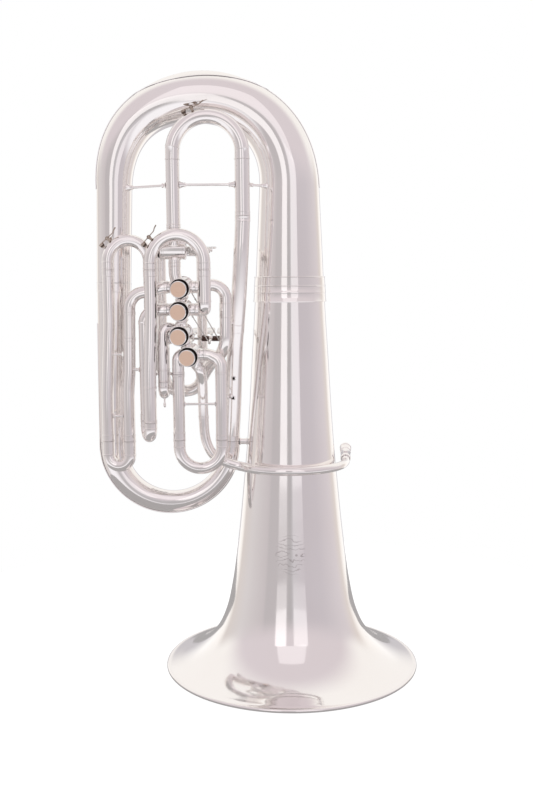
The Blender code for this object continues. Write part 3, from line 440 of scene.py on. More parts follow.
# ---------------------------------------------------------------- sizes shared with the CAD
GAP = 0.0003
BELL_X = 0.053
RIM_RADIUS = 0.210
RIM_WIRE_R = 0.0030
BELL_TOP_Z = 0.627
MAIN_BOW_Z = 0.788
MAIN_BOW_RADIUS = 0.1402
RIGHT_SHOULDER = 0.0042
LEFT_SHOULDER = 0.0065
GUARD_RISE = 0.0040
GUARD_RISE_START = math.radians(68)
GUARD_RISE_STOP = math.radians(118)
GUARD_SHARE = 165 / 180
LEFT_LEG_X = BELL_X - 2 * MAIN_BOW_RADIUS
LEFT_JOINT = Vector((-0.2317, 0, 0.640))
BOTTOM_BOW_CENTRE = Vector((-0.146, 0, 0.375))
BOTTOM_BOW_OUTER = 0.1155
BOTTOM_BOW_RADII = (0.0225, 0.0183, 0.0145)
BOTTOM_RUN_IN = 0.004
SLIDE_Y = -0.058
SLIDE_LEFT_X = -0.1285
SLIDE_RIGHT_X = -0.0212
SLIDE_BOW_Z = 0.8384
SLIDE_JOINT_Z = 0.8262
SLIDE_LEFT_R = 0.0109
SLIDE_RIGHT_R = 0.0116
INNER_BRANCH_TOP_Z = 0.741
VALVE_TURN = Matrix.Rotation(math.radians(-6), 3, "Z") @ Matrix.Rotation(math.radians(6), 3, "X")
VALVE_CENTRES = {
    4: Vector((-0.1168, SLIDE_Y, 0.6320)),
    3: Vector((-0.1182, SLIDE_Y, 0.5970)),
    2: Vector((-0.1186, SLIDE_Y, 0.5586)),
    1: Vector((-0.1054, SLIDE_Y, 0.5262)),
}
VALVE_5 = Vector((-0.1280, SLIDE_Y + 0.0060, 0.6902))
CASING_R = 0.0155
CASING_FRONT = -0.0185
CASING_BACK = 0.0180
STUB_END = 0.0220
RUN_IN = STUB_END + 0.008
PORT_R = 0.0095
STOP_ARM_PIN = 0.0046
TUBE_R = 0.0095
WIDE_TUBE_R = 0.0099
AXLE_Y = 0.014
AXLE_Z = 0.547
LEVER_SLOPE = math.tan(math.radians(6.5))
LEVER_FRONT = 0.0390
LINK_Y = -0.0268
FIRST_LEVER_DROP = 0.0120
LEVER_X = {1: -0.1170, 2: -0.1070, 3: -0.0772, 4: -0.0591}
THUMB_AXLE_Y = -0.005
PADDLE_X = {1: -0.1270, 2: -0.1050, 3: -0.0830, 4: -0.0610}
LEG_108 = (-0.2340, -0.0440)
LEG_108_LOW = (-0.2400, -0.0440)
LEG_129 = (-0.2055, -0.0500)
UPPER_4_RIGHT = (-0.1706, -0.0330)
FRONT_3 = (-0.1635, -0.0785)
FRONT_3_LOW = (-0.1680, -0.0785)
RIGHT_3 = (-0.0806, -0.0825)
REAR_3 = (-0.1768, -0.0535)
SECOND_X = -0.1475
SECOND_FRONT_Y = -0.0700
SECOND_REAR_Y = -0.0470
FIRST_LEFT = (-0.1245, -0.0660)
FIRST_RIGHT = (-0.0570, -0.0660)
FIFTH_LEFT = (-0.1590, 0.0350)
FIFTH_RIGHT = (-0.0920, 0.0350)
UPPER_4_JOINT = 0.6600
LOWER_4_JOINT = 0.3880
UPPER_3_JOINT = 0.6585
LOWER_3_JOINT = 0.4220
SECOND_JOINT = 0.4850
FIRST_JOINT = 0.3920
FIFTH_JOINT = 0.6000


def port(number, degrees, distance=STUB_END + GAP):
    angle = math.radians(degrees)
    local = Vector((math.cos(angle), 0, math.sin(angle))) * distance
    return VALVE_CENTRES[number] + VALVE_TURN @ local


def main_bow_radius(share):
    return 0.0480 - 0.0210 * share + 0.0015 * share * share


# ---------------------------------------------------------------- bell and conical body
BELL_OUTLINE = [
    (0.0557, BELL_TOP_Z),
    (0.0580, 0.585),
    (0.0626, 0.513),
    (0.0666, 0.446),
    (0.0718, 0.372),
    (0.0780, 0.306),
    (0.0846, 0.240),
    (0.0926, 0.174),
    (0.0985, 0.137),
    (0.1050, 0.106),
    (0.1130, 0.082),
    (0.1230, 0.0615),
    (0.1370, 0.0435),
    (0.1560, 0.0275),
    (0.1780, 0.0150),
    (0.2010, 0.0068),
]
BELL_WALL = 0.0011


def lathe(profile, sides):
    """Turns a closed outline of (radius, height) points about the bell's axis."""
    work = bmesh.new()
    rows = []
    for radius, height in profile:
        row = []
        for i in range(sides):
            angle = 2 * math.pi * i / sides
            row.append(work.verts.new((BELL_X + radius * math.cos(angle), radius * math.sin(angle), height)))
        rows.append(row)
    for low, high in zip(rows, rows[1:] + rows[:1]):
        for i in range(sides):
            work.faces.new((low[i], low[(i + 1) % sides], high[(i + 1) % sides], high[i]))
    return work


def bell():
    """The bell: a smooth curve through the CAD's outline, with a round wire in the rim."""
    curve = smooth_route([(r, 0, z) for r, z in BELL_OUTLINE], 6)
    outer = [(p.x, p.z) for p in curve]
    inner = []
    for before, here, after in zip(curve, curve[1:], curve[2:]):
        slope = (after - before).normalized()
        inner.append((here.x + slope.z * BELL_WALL, here.z - slope.x * BELL_WALL))
    wire = []
    for i in range(13):
        angle = math.radians(115 - 250 * i / 12)
        height = max(RIM_WIRE_R + RIM_WIRE_R * math.sin(angle), 0.0)
        wire.append((RIM_RADIUS - RIM_WIRE_R + RIM_WIRE_R * math.cos(angle), height))
    profile = [(outer[0][0] - BELL_WALL, outer[0][1]), *outer, *wire, *inner[::-1]]
    piece("bell_flare", lathe(profile, 160), BELL_SILVER, replaces=("bell",), sharp=50)


def bell_garland():
    """The wide ferrule above the bell, with its two raised bands."""
    heights = [(0.6067, 0.0582), (0.6070, 0.0591), (0.6080, 0.0593), (0.6090, 0.0588), (0.6205, 0.0578)]
    heights += [(0.6210, 0.0584), (0.6220, 0.0586), (0.6230, 0.0582), (0.6315, 0.0575), (0.6320, 0.0580)]
    heights += [(0.6330, 0.0580), (0.6335, 0.0574), (0.6455, 0.0567), (0.6460, 0.0573), (0.6470, 0.0573)]
    heights += [(0.6475, 0.0566)]
    profile = [(0.0573, 0.6067)] + [(r, z) for z, r in heights] + [(0.0557, 0.6475), (0.0561, 0.6273)]
    finish("bell_garland", lathe(profile, 128), SILVER)


def main_bow_point(share):
    """A point of the main bow's centre line: a half turn with fuller shoulders."""
    angle = math.pi * share
    shoulder = RIGHT_SHOULDER if share < 0.5 else LEFT_SHOULDER
    reach = MAIN_BOW_RADIUS + shoulder * math.sin(2 * angle) ** 2
    across = BELL_X - MAIN_BOW_RADIUS + reach * math.cos(angle)
    return Vector((across, 0, MAIN_BOW_Z + reach * math.sin(angle)))


def guard_rise(share):
    """How far the wide guard stands off the top of the bow."""
    along_rise = (math.pi * share - GUARD_RISE_START) / (GUARD_RISE_STOP - GUARD_RISE_START)
    return GUARD_RISE * math.sin(math.pi * min(max(along_rise, 0.0), 1.0))


def bow_route():
    low = [Vector((BELL_X, 0, z)) for z in (BELL_TOP_Z + GAP, 0.650, 0.680, 0.706, 0.735, 0.762)]
    turn = [main_bow_point(i / 72) for i in range(73)]
    start = turn[-1]
    left = [start.lerp(LEFT_JOINT, i / 6) for i in range(1, 7)]
    radii = [0.0552, 0.0545, 0.0532, 0.0520, 0.0505, 0.0492]
    radii += [main_bow_radius(i / 72) for i in range(73)]
    radii += [0.0285 + (0.0276 - 0.0285) * i / 6 for i in range(1, 7)]
    return low + turn + left, radii


def main_bow():
    points, radii = bow_route()
    path = Path(points)
    profile = [(0.01, radii[0] - 0.0009), (0.0, radii[0] - 0.0009), *zip(path.far, radii)]
    profile += [(path.length, radii[-1] - 0.0009), (path.length - 0.01, radii[-1] - 0.0009)]
    work = bmesh.new()
    sweep_into(work, path, profile, 72)
    finish("main_bow", work, SILVER)


def outer_branch():
    top = LEFT_JOINT - Z * GAP
    bottom_z = BOTTOM_BOW_CENTRE.z + BOTTOM_RUN_IN + GAP
    bottom = Vector((BOTTOM_BOW_CENTRE.x - BOTTOM_BOW_OUTER + BOTTOM_BOW_RADII[0], 0, bottom_z))
    low = bottom + Vector((0.0002, 0, 0.030))
    route = [top.lerp(low, i / 8) for i in range(9)] + [bottom]
    radii = [(0, 0.0275), (0.5, 0.0251), (0.88, 0.0228), (1, BOTTOM_BOW_RADII[0])]
    bands = [ferrule(0.0002, 0.0150)]
    add_tube("outer_branch", route, radii, bands, 48)


def bottom_bow_at(share):
    """The bottom bow's centre line and radius, from 0 at its left end to 1 at its right."""
    first, middle, last = BOTTOM_BOW_RADII
    if share < 0.5:
        radius = first + (middle - first) * 2 * share
    else:
        radius = middle + (last - middle) * (2 * share - 1)
    angle = math.pi * (1 + share)
    reach = BOTTOM_BOW_OUTER - radius
    return BOTTOM_BOW_CENTRE + Vector((reach * math.cos(angle), 0, reach * math.sin(angle))), radius


def bottom_bow():
    steps = 60
    places = [bottom_bow_at(i / steps) for i in range(steps + 1)]
    route = [point for point, radius in places]
    radii = [radius for point, radius in places]
    lift = Z * BOTTOM_RUN_IN
    path = Path([route[0] + lift, *route, route[-1] + lift])
    profile = list(zip(path.far, [radii[0], *radii, radii[-1]]))
    work = bmesh.new()
    sweep_into(work, path, profile, 48)
    finish("bottom_bow", work, SILVER)


INNER_BRANCH_KNOTS = [
    (-0.0450, 0.0, BOTTOM_BOW_CENTRE.z + 0.012),
    (-0.0405, -0.0115, 0.448),
    (-0.0362, -0.0260, 0.530),
    (-0.0290, -0.0430, 0.611),
    (-0.0238, -0.0545, 0.689),
    (SLIDE_RIGHT_X, SLIDE_Y, INNER_BRANCH_TOP_Z - 0.006),
]


def inner_branch():
    start = Vector((-0.0450, 0.0, BOTTOM_BOW_CENTRE.z + BOTTOM_RUN_IN + GAP))
    end = Vector((SLIDE_RIGHT_X, SLIDE_Y, INNER_BRANCH_TOP_Z - GAP))
    route = [start, *smooth_route(INNER_BRANCH_KNOTS), end]
    radii = [(0, 0.0143), (0.5, 0.0122), (1, 0.0117)]

    def fittings(work, path):
        for z in (0.4885, 0.4577):
            far = min(path.far, key=lambda f: abs(path.at(f)[0].z - z))
            point, (tangent, side, up) = path.at(far)
            front = (-Y - tangent * tangent.dot(-Y)).normalized()
            spot = point + front * 0.0120
            turn_into(work, pill(0.0042, -0.0010, 0.0014), axis_place(spot, front), 24)
            boss = [(0.0022, 0.001), *pill(0.0022, 0.0012, 0.0028)]
            turn_into(work, boss, axis_place(spot, front), 16, material=1)

    bands = [ferrule(0.0002, 0.0120), ferrule(0.1845, 0.1985), ferrule(-0.0080, -0.0002)]
    add_tube("inner_branch", route, radii, bands, 32, extra=fittings)


def guard(name, route, radii, half_widths, centre, rises=None):
    """A strip that hugs the outer side of a bow, with a bead along both edges. rises crown it."""
    path = Path(route)
    work = bmesh.new()
    count = 12
    rings = []
    for index, point in enumerate(path.points):
        tangent = path.frames[index][0]
        out = point - Vector(centre)
        out = (out - tangent * out.dot(tangent)).normalized()
        side = tangent.cross(out)
        radius = radii[index] + GAP
        spread_angle = half_widths[index] / radius
        ring = []
        for step in range(count + 1):
            angle = spread_angle * (2 * step / count - 1)
            edge = 1.0 if step in (0, count) else 0.0
            crown = rises[index] * math.cos(math.pi * (step / count - 0.5)) if rises else 0.0
            reach = radius + 0.0009 + 0.0002 * edge + crown
            ring.append(point + (out * math.cos(angle) + side * math.sin(angle)) * reach)
        for step in range(count, -1, -1):
            angle = spread_angle * (2 * step / count - 1)
            ring.append(point + (out * math.cos(angle) + side * math.sin(angle)) * radius)
        rings.append(ring)
    add_rings(work, rings)
    finish(name, work, SILVER)


def guards():
    centre = Vector((BELL_X - MAIN_BOW_RADIUS, 0, MAIN_BOW_Z))
    steps = 90
    route = [main_bow_point(i / steps) for i in range(steps + 1)]
    radii = [main_bow_radius(i / steps) for i in range(steps + 1)]
    rises = [guard_rise(i / steps) for i in range(steps + 1)]
    widths = []
    for i in range(steps + 1):
        across = math.cos(math.radians(180 * i / steps))
        wide = max(0.0, 1 - (across / 0.55) ** 4)
        widths.append(0.0075 + 0.0145 * wide)
    guard("main_bow_guard", route, radii, widths, centre, rises)
    run_in = 12
    route = []
    radii = []
    for i in range(run_in):
        share = 1 - i / run_in
        route.append(Vector((-0.2385 + 0.0006 * share, 0, BOTTOM_BOW_CENTRE.z + 0.199 * share)))
        radii.append(BOTTOM_BOW_RADII[0] + 0.0002 - 0.0006 * share)
    for i in range(66):
        point, radius = bottom_bow_at(GUARD_SHARE * i / 65)
        route.append(point)
        radii.append(radius)
    widths = [0.010] * len(route)
    guard("bottom_bow_guard", route, radii, widths, BOTTOM_BOW_CENTRE + Z * 0.05)


# ---------------------------------------------------------------- slides
def leg_profile(insert, outer_r, bow_r, bead_at):
    """A slide leg from its inner end: the inner tube, its shoulder, the outer tube, and the bow's bead."""
    inner_r = outer_r - 0.0010
    return [
        (0.0, inner_r - 0.0004),
        (0.0008, inner_r),
        (insert + 0.0006, inner_r),
        (insert + 0.0007, outer_r + 0.0002),
        (insert + 0.0010, outer_r + BEAD + 0.0002),
        (insert + 0.0022, outer_r + BEAD + 0.0002),
        (insert + 0.0026, outer_r + 0.0001),
        (bead_at - 0.0022, bow_r + 0.0001),
        (bead_at - 0.0016, bow_r + BEAD),
        (bead_at - 0.0008, bow_r + BEAD),
        (bead_at - 0.0002, bow_r),
    ]


def slide(left, right, joint, direction, radius, bow_rise, insert, leg_radii=None, bead_lifts=(0.0, 0.0)):
    """A U slide: shouldered inner legs, and a bead on each side where the ferrule of the bow ends."""
    leg_radii = leg_radii or (radius, radius)
    a = Vector((*left, 0))
    b = Vector((*right, 0))
    half = (b - a).length / 2
    middle = (a + b) / 2
    out = (a - b).normalized()
    bow_z = joint + direction * bow_rise
    route = [a + Z * (joint - direction * insert)]
    for i in range(33):
        angle = math.pi * i / 32
        sideways = out * (half * math.cos(angle))
        route.append(middle + sideways + Z * (bow_z + direction * half * math.sin(angle)))
    route.append(b + Z * (joint - direction * insert))
    path = Path(route)
    start, end = [
        leg_profile(insert, leg_r, radius, insert + bow_rise + lift)
        for leg_r, lift in zip(leg_radii, bead_lifts)
    ]
    bow = [(far, radius) for far in path.far if start[-1][0] < far < path.length - end[-1][0]]
    work = bmesh.new()
    sweep_into(work, path, [*start, *bow, *[(path.length - far, size) for far, size in reversed(end)]], 32)
    return work, path


def slides():
    bow_rise = SLIDE_BOW_Z - SLIDE_JOINT_Z
    main_left = (SLIDE_LEFT_X, SLIDE_Y)
    main_right = (SLIDE_RIGHT_X, SLIDE_Y)
    main_radii = (SLIDE_LEFT_R, SLIDE_RIGHT_R)
    second_rear = (SECOND_X, SECOND_REAR_Y)
    second_front = (SECOND_X, SECOND_FRONT_Y)
    lifts = (0.0094, 0.0056)
    specs = {
        "main_slide": (main_left, main_right, SLIDE_JOINT_Z, 1, 0.0113, bow_rise, 0.085, main_radii, lifts),
        "v4_upper_slide": (LEG_108, UPPER_4_RIGHT, UPPER_4_JOINT, 1, TUBE_R, 0.0135, 0.060),
        "v4_lower_slide": (LEG_108_LOW, LEG_129, LOWER_4_JOINT, -1, TUBE_R, 0.0235, 0.060),
        "v3_upper_slide": (FRONT_3, RIGHT_3, UPPER_3_JOINT, 1, WIDE_TUBE_R, 0.0120, 0.038),
        "v3_lower_slide": (REAR_3, FRONT_3_LOW, LOWER_3_JOINT, -1, WIDE_TUBE_R, 0.0105, 0.060),
        "v1_slide": (FIRST_LEFT, FIRST_RIGHT, FIRST_JOINT, -1, TUBE_R, 0.0125, 0.070),
        "v2_slide": (second_rear, second_front, SECOND_JOINT, -1, SMALL_TUBE_R, 0.0085, 0.030),
        "v5_slide": (FIFTH_LEFT, FIFTH_RIGHT, FIFTH_JOINT, -1, SMALL_TUBE_R, 0.1100, 0.050),
    }
    for name, spec in specs.items():
        work, path = slide(*spec)
        if name == "v2_slide":
            pull_rod(work, path)
        finish(name, work, SILVER, name)


def pull_rod(work, path):
    """The second slide's drop-shaped pull rod."""
    top = path.at(path.length / 2)[0] - Z * 0.0075
    profile = [(0.0024, 0.0), (0.0014, 0.0012), (0.0012, 0.0070), (0.0019, 0.0085), (0.0023, 0.0110)]
    profile += [(0.0019, 0.0135), (0.0006, 0.0150)]
    turn_into(work, profile, axis_place(top, -Z), 20)


# ---------------------------------------------------------------- fixed tubes of the valves
def fixed_tubes():
    """Each tube: corners with their bends, radius, ferrules, and the depths of its two sockets."""
    left_base = VALVE_5.z + STUB_END + 0.0110 + GAP
    tubes = {
        "main_slide_tube_left": (
            [((SLIDE_LEFT_X, SLIDE_Y, left_base), 0), ((SLIDE_LEFT_X, SLIDE_Y, SLIDE_JOINT_Z), 0)],
            SLIDE_LEFT_R, [(0.0001, 0.0060)], 0, 0.087,
        ),
        "main_slide_tube_right": (
            [((SLIDE_RIGHT_X, SLIDE_Y, INNER_BRANCH_TOP_Z), 0), ((SLIDE_RIGHT_X, SLIDE_Y, SLIDE_JOINT_Z), 0)],
            SLIDE_RIGHT_R, [(0.0001, 0.0070)], 0, 0.0848,
        ),
        "v4_tube_middle": (
            [
                ((*LEG_108_LOW, LOWER_4_JOINT), 0),
                ((*LEG_108_LOW, LOWER_4_JOINT + 0.07), 0.5),
                ((*LEG_108, UPPER_4_JOINT - 0.08), 0.5),
                ((*LEG_108, UPPER_4_JOINT), 0),
            ],
            TUBE_R, [(0.0002, 0.0100), (-0.0110, -0.0002)], 0.062, 0.062,
        ),
        "v4_tube_left": (
            [
                (port(4, 180), 0),
                (port(4, 180, RUN_IN), 0.018),
                ((-0.1620, -0.0545, 0.6280), 0.060),
                ((-0.2010, LEG_129[1], 0.6200), 0.026),
                ((-0.2030, LEG_129[1], 0.500), 0.1),
                ((*LEG_129, 0.470), 0.1),
                ((*LEG_129, LOWER_4_JOINT), 0),
            ],
            TUBE_R, [(0.0003, 0.0050), (0.0830, 0.0880), (-0.1660, -0.1600), (-0.0100, -0.0002)], 0, 0.062,
        ),
        "v4_tube_right": (
            [
                ((*UPPER_4_RIGHT, UPPER_4_JOINT), 0),
                ((*UPPER_4_RIGHT, 0.545), 0.060),
                ((-0.1560, -0.0120, 0.500), 0.040),
                ((-0.1440, -0.0120, 0.4640), 0.022),
                ((-0.1000, -0.0120, 0.4640), 0.026),
                ((-0.0800, -0.0200, 0.5040), 0.050),
                ((-0.0500, -0.0550, 0.5340), 0.040),
                ((-0.0488, -0.0560, 0.6400), 0.0215),
                (port(4, 0, RUN_IN), 0.018),
                (port(4, 0), 0),
            ],
            TUBE_R, [(0.0002, 0.0110), (0.1180, 0.1240), (-0.0880, -0.0650), (-0.0050, -0.0003)], 0.062, 0,
        ),
        "v3_tube_middle": (
            [
                ((*FRONT_3_LOW, LOWER_3_JOINT), 0),
                ((*FRONT_3_LOW, LOWER_3_JOINT + 0.07), 0.5),
                ((*FRONT_3, UPPER_3_JOINT - 0.06), 0.5),
                ((*FRONT_3, UPPER_3_JOINT), 0),
            ],
            WIDE_TUBE_R, [(0.0002, 0.0030), (0.0530, 0.0560), (-0.0100, -0.0002)], 0.062, 0.040,
        ),
        "v3_tube_right": (
            [
                (port(3, 0), 0),
                (port(3, 0, STUB_END + 0.0135), 0.0103),
                ((*RIGHT_3, 0.5985), 0.0103),
                ((*RIGHT_3, UPPER_3_JOINT), 0),
            ],
            WIDE_TUBE_R, [(0.0001, 0.0026), (-0.0500, -0.0470), (-0.0100, -0.0002)], 0, 0.040,
        ),
        "v3_tube_rear": (
            [
                (port(3, 180), 0),
                (port(3, 180, RUN_IN), 0.018),
                ((*REAR_3, 0.5945), 0.020),
                ((*REAR_3, LOWER_3_JOINT), 0),
            ],
            WIDE_TUBE_R, [(0.0003, 0.0040), (0.0450, 0.0500), (-0.0100, -0.0002)], 0, 0.062,
        ),
        "v1_tube_left": (
            [((*FIRST_LEFT, 0.4960), 0), ((*FIRST_LEFT, FIRST_JOINT), 0)],
            TUBE_R, [(0.0002, 0.0040), (-0.0120, -0.0002)], 0, 0.072,
        ),
        "v1_tube_right": (
            [
                (port(1, 0), 0),
                (port(1, 0, RUN_IN), 0.018),
                ((*FIRST_RIGHT, 0.5170), 0.015),
                ((*FIRST_RIGHT, FIRST_JOINT), 0),
            ],
            TUBE_R, [(0.0003, 0.0040), (-0.1080, -0.1040), (-0.0080, -0.0002)], 0, 0.072,
        ),
    }
    for name, (corners, radius, bands, socket_start, socket_end) in tubes.items():
        bore = radius - (MAIN_SLIDE_WALL if name.startswith("main") else VALVE_TUBE_WALL)
        sockets = {"socket_start": socket_start, "socket_end": socket_end, "bore": bore}
        add_tube(name, rounded(corners), radius, [ferrule(*band) for band in bands], **sockets)


# ---------------------------------------------------------------- valves
def placed(number):
    if number == 5:
        return Matrix.Translation(VALVE_5) @ Matrix.Rotation(math.radians(-90), 4, "Z")
    return Matrix.Translation(VALVE_CENTRES[number]) @ VALVE_TURN.to_4x4()


VALVE_AXIS = Matrix.Rotation(math.radians(-90), 4, "X")  # takes a turned profile's Z to the valve's Y


def casing_shell(work, number):
    """The turned casing: front rim, waist, rear flange and bearing plate."""
    place = placed(number) @ VALVE_AXIS
    profile = [
        (0.0133, CASING_FRONT + 0.004),
        (0.0133, CASING_FRONT),
        (CASING_R - 0.0002, CASING_FRONT),
        (CASING_R + 0.0001, CASING_FRONT + 0.0004),
        (CASING_R + 0.0001, CASING_FRONT + 0.0022),
        (CASING_R - 0.0004, CASING_FRONT + 0.0027),
        (CASING_R - 0.0004, CASING_BACK - 0.0052),
        (CASING_R + 0.0001, CASING_BACK - 0.0047),
        (CASING_R + 0.0001, CASING_BACK - 0.0012),
        (CASING_R - 0.0008, CASING_BACK - 0.0004),
        (0.0110, CASING_BACK),
        (0.0108, CASING_BACK - 0.0006),
        (0.0062, CASING_BACK - 0.0006),
        (0.0060, CASING_BACK),
        (0.0032, CASING_BACK),
    ]
    turn_into(work, profile, place, 64)


def casing(number, ports, tubes=(), bands=()):
    work = bmesh.new()
    casing_shell(work, number)
    place = placed(number)
    for degrees, reach in ports:
        angle = math.radians(degrees)
        out = place.to_3x3() @ Vector((math.cos(angle), 0, math.sin(angle)))
        centre = place.translation
        path = Path([centre + out * 0.0125, centre + out * reach])
        start = CASING_R - 0.0125
        profile = [(0.0, PORT_R), (start + 0.0008, PORT_R + 0.0008), (start + 0.0020, PORT_R + 0.0001)]
        profile += [(max(path.length - 0.0012, start + 0.0022), PORT_R), (path.length, PORT_R - 0.0002)]
        sweep_into(work, path, profile, 32)
    for route, radius, rings, socket in tubes:
        path = Path(route)
        bore = {"socket_end": socket, "bore": radius - VALVE_TUBE_WALL} if socket else {}
        sweep_into(work, path, tube_profile(path, radius, rings, **bore), 32)
    for extra in bands:
        extra(work)
    finish(f"valve_casing_{number}", work, SILVER)


def stop_plate(number):
    """A plate behind a casing, with its two cork bumpers and its screws."""
    place = placed(number)
    work = bmesh.new()
    plate_y = CASING_BACK + 0.0008
    bar_into(work, (-0.0088, plate_y, 0.0105), (0.0088, plate_y, 0.0105), 0.0034, 0.0012)
    for side in (-1, 1):
        screw_into(work, (side * 0.0070, plate_y + 0.0006, 0.0105), Y, 0.0015, 0.0009)
    bmesh.ops.transform(work, matrix=place, verts=work.verts)
    bumpers = bmesh.new()
    for side in (-1, 1):
        turn_into(bumpers, pill(0.0015, 0.0, 0.0036), axis_place((side * 0.0032, plate_y, 0.0105), Y), 16)
    bmesh.ops.transform(bumpers, matrix=place, verts=bumpers.verts)
    for face in bumpers.faces:
        face.material_index = 1
    merge(work, bumpers)
    piece(f"stop_plate_{number}", work, [SILVER, CORK])


def half_way(first, second):
    """Length of a port that meets the next valve's port half way."""
    return 0.5 * (VALVE_CENTRES[first] - VALVE_CENTRES[second]).length - GAP / 2


def casings():
    between_34 = half_way(4, 3)
    between_23 = half_way(3, 2)
    between_12 = half_way(2, 1)
    v4 = VALVE_CENTRES[4]
    top = rounded(
        [
            ((v4.x - 0.0070, SLIDE_Y, v4.z + 0.0040), 0),
            ((VALVE_5.x, SLIDE_Y, v4.z + 0.0200), 0.03),
            ((VALVE_5.x, SLIDE_Y, VALVE_5.z - CASING_R - 0.0012), 0),
        ]
    )
    ports = [(0, STUB_END), (180, STUB_END), (-91, between_34)]
    casing(4, ports, [(top, PORT_R, [ferrule(-0.0100, -0.0030)], 0)])
    casing(3, [(0, STUB_END), (180, STUB_END), (89, between_34), (-89.5, between_23)])
    v2 = VALVE_CENTRES[2]
    legs = []
    for degrees, leg_y, drop in ((150, SECOND_FRONT_Y, 0.0169), (207, SECOND_REAR_Y, -0.0100)):
        angle = math.radians(degrees)
        start = v2 + VALVE_TURN @ Vector((math.cos(angle), 0, math.sin(angle))) * 0.010
        route = rounded(
            [
                (start, 0),
                ((SECOND_X, 0.5 * (leg_y + SLIDE_Y), v2.z + drop), 0.010),
                ((SECOND_X, leg_y, v2.z - 0.0300), 0.03),
                ((SECOND_X, leg_y, SECOND_JOINT), 0),
            ]
        )
        legs.append((route, SMALL_TUBE_R, [ferrule(-0.0190, -0.0170), ferrule(-0.0022, -0.0001)], 0.034))
    casing(2, [(90.5, between_23), (-68, between_12)], legs)
    v1 = VALVE_CENTRES[1]
    left = rounded(
        [
            ((v1.x - 0.0080, SLIDE_Y - 0.0005, v1.z + 0.0010), 0),
            ((FIRST_LEFT[0], FIRST_LEFT[1] + 0.0020, v1.z + 0.0010), 0.011),
            ((*FIRST_LEFT, v1.z - 0.0200), 0.03),
            ((*FIRST_LEFT, 0.4960 + GAP), 0),
        ]
    )
    ports = [(0, STUB_END), (112, between_12), (-60, STUB_END)]
    casing(1, ports, [(left, PORT_R, [ferrule(-0.0030, -0.0001)], 0)])
    fifth_legs = []
    for start_x, leg, bend in ((-0.1190, FIFTH_RIGHT, 0.013), (-0.1362, FIFTH_LEFT, 0.0112)):
        route = rounded(
            [
                ((start_x, VALVE_5.y + 0.006, VALVE_5.z), 0),
                ((start_x, leg[1], VALVE_5.z), bend),
                ((*leg, VALVE_5.z), bend),
                ((*leg, FIFTH_JOINT), 0),
            ]
        )
        fifth_legs.append((route, SMALL_TUBE_R, [ferrule(0.0200, 0.0240), ferrule(-0.0100, -0.0002)], 0.054))

    def top_tube(work):
        base = Vector((SLIDE_LEFT_X, SLIDE_Y, VALVE_5.z + 0.0060))
        path = Path([base, base + Z * (STUB_END + 0.0050)])
        profile = tube_profile(path, SLIDE_LEFT_R, [ferrule(0.0100, 0.0140), ferrule(0.0215, 0.0265)])
        sweep_into(work, path, profile, 32)

    def pivot(work):
        path = Path([(-0.1150, THUMB_AXLE_Y, VALVE_5.z), (-0.0715, THUMB_AXLE_Y, VALVE_5.z)])
        far = path.length
        profile = [(0.0, 0.0030), (0.006, 0.0030), (0.0065, 0.0018), (far - 0.0022, 0.0018)]
        profile += [(far - 0.0020, 0.0027), (far - 0.0004, 0.0027), (far, 0.0022)]
        sweep_into(work, path, profile, 20)

    casing(5, [(-90, CASING_R + 0.0009)], fifth_legs, (top_tube, pivot))
    for number in (1, 2, 3, 4):
        stop_plate(number)


def caps():
    """Screwed front caps: knurled flange, a neck painted near-black as shade, polished lip, and a satin face
    with a ring groove.
    """
    for number in (1, 2, 3, 4, 5):
        place = placed(number) @ VALVE_AXIS @ Matrix.Rotation(math.pi, 4, "X")
        small = number == 5
        flange = 0.0152 if small else 0.0160
        top = 0.0270 if small else 0.0340
        base = -CASING_FRONT + GAP
        recess = flange - 0.0009
        work = bmesh.new()
        profile = [
            (0.0120, base),
            (flange - 0.0003, base),
            (flange, base + 0.0004),
            (flange, base + 0.0032),
            (flange - 0.0004, base + 0.0038),
            (recess, base + 0.0039),
            (recess, base + 0.0032),
        ]
        turn_into(work, profile, place, 96, knurl={2, 3})
        # The neck's side wall is painted near-black: painted shade and painted dark reflection of the gap
        # between the boss and the flange.
        painted_shade_neck = [(0.0120, base + 0.0033), (recess, base + 0.0033), (recess - 0.0001, base + 0.0038)]
        painted_shade_neck += [(0.0130, base + 0.0040), (0.0125, base + 0.0048)]
        painted_shade_neck += [(0.0125, top - 0.0022), (0.0118, top - 0.0020)]
        turn_into(work, painted_shade_neck, place, 64, material=2)
        lip = [(0.0116, top - 0.0024), (0.0130, top - 0.0014), (0.0129, top - 0.0004)]
        lip += [(0.0123, top), (0.0119, top), (0.0117, top - 0.0003), (0.0117, top - 0.0010)]
        turn_into(work, lip, place, 64)
        face = [(0.01168, top - 0.0006), (0.01166, top - 0.0003), (0.0066, top - 0.0004)]
        face += [(0.0062, top - 0.0007), (0.0058, top - 0.0007)]
        face += [(0.0054, top - 0.0004), (0.0004, top - 0.0004)]
        turn_into(work, face, place, 64, material=1)
        finish(f"valve_cap_{number}", work, [SILVER, CAP, DARK_AND_PAINTED_SHADE])


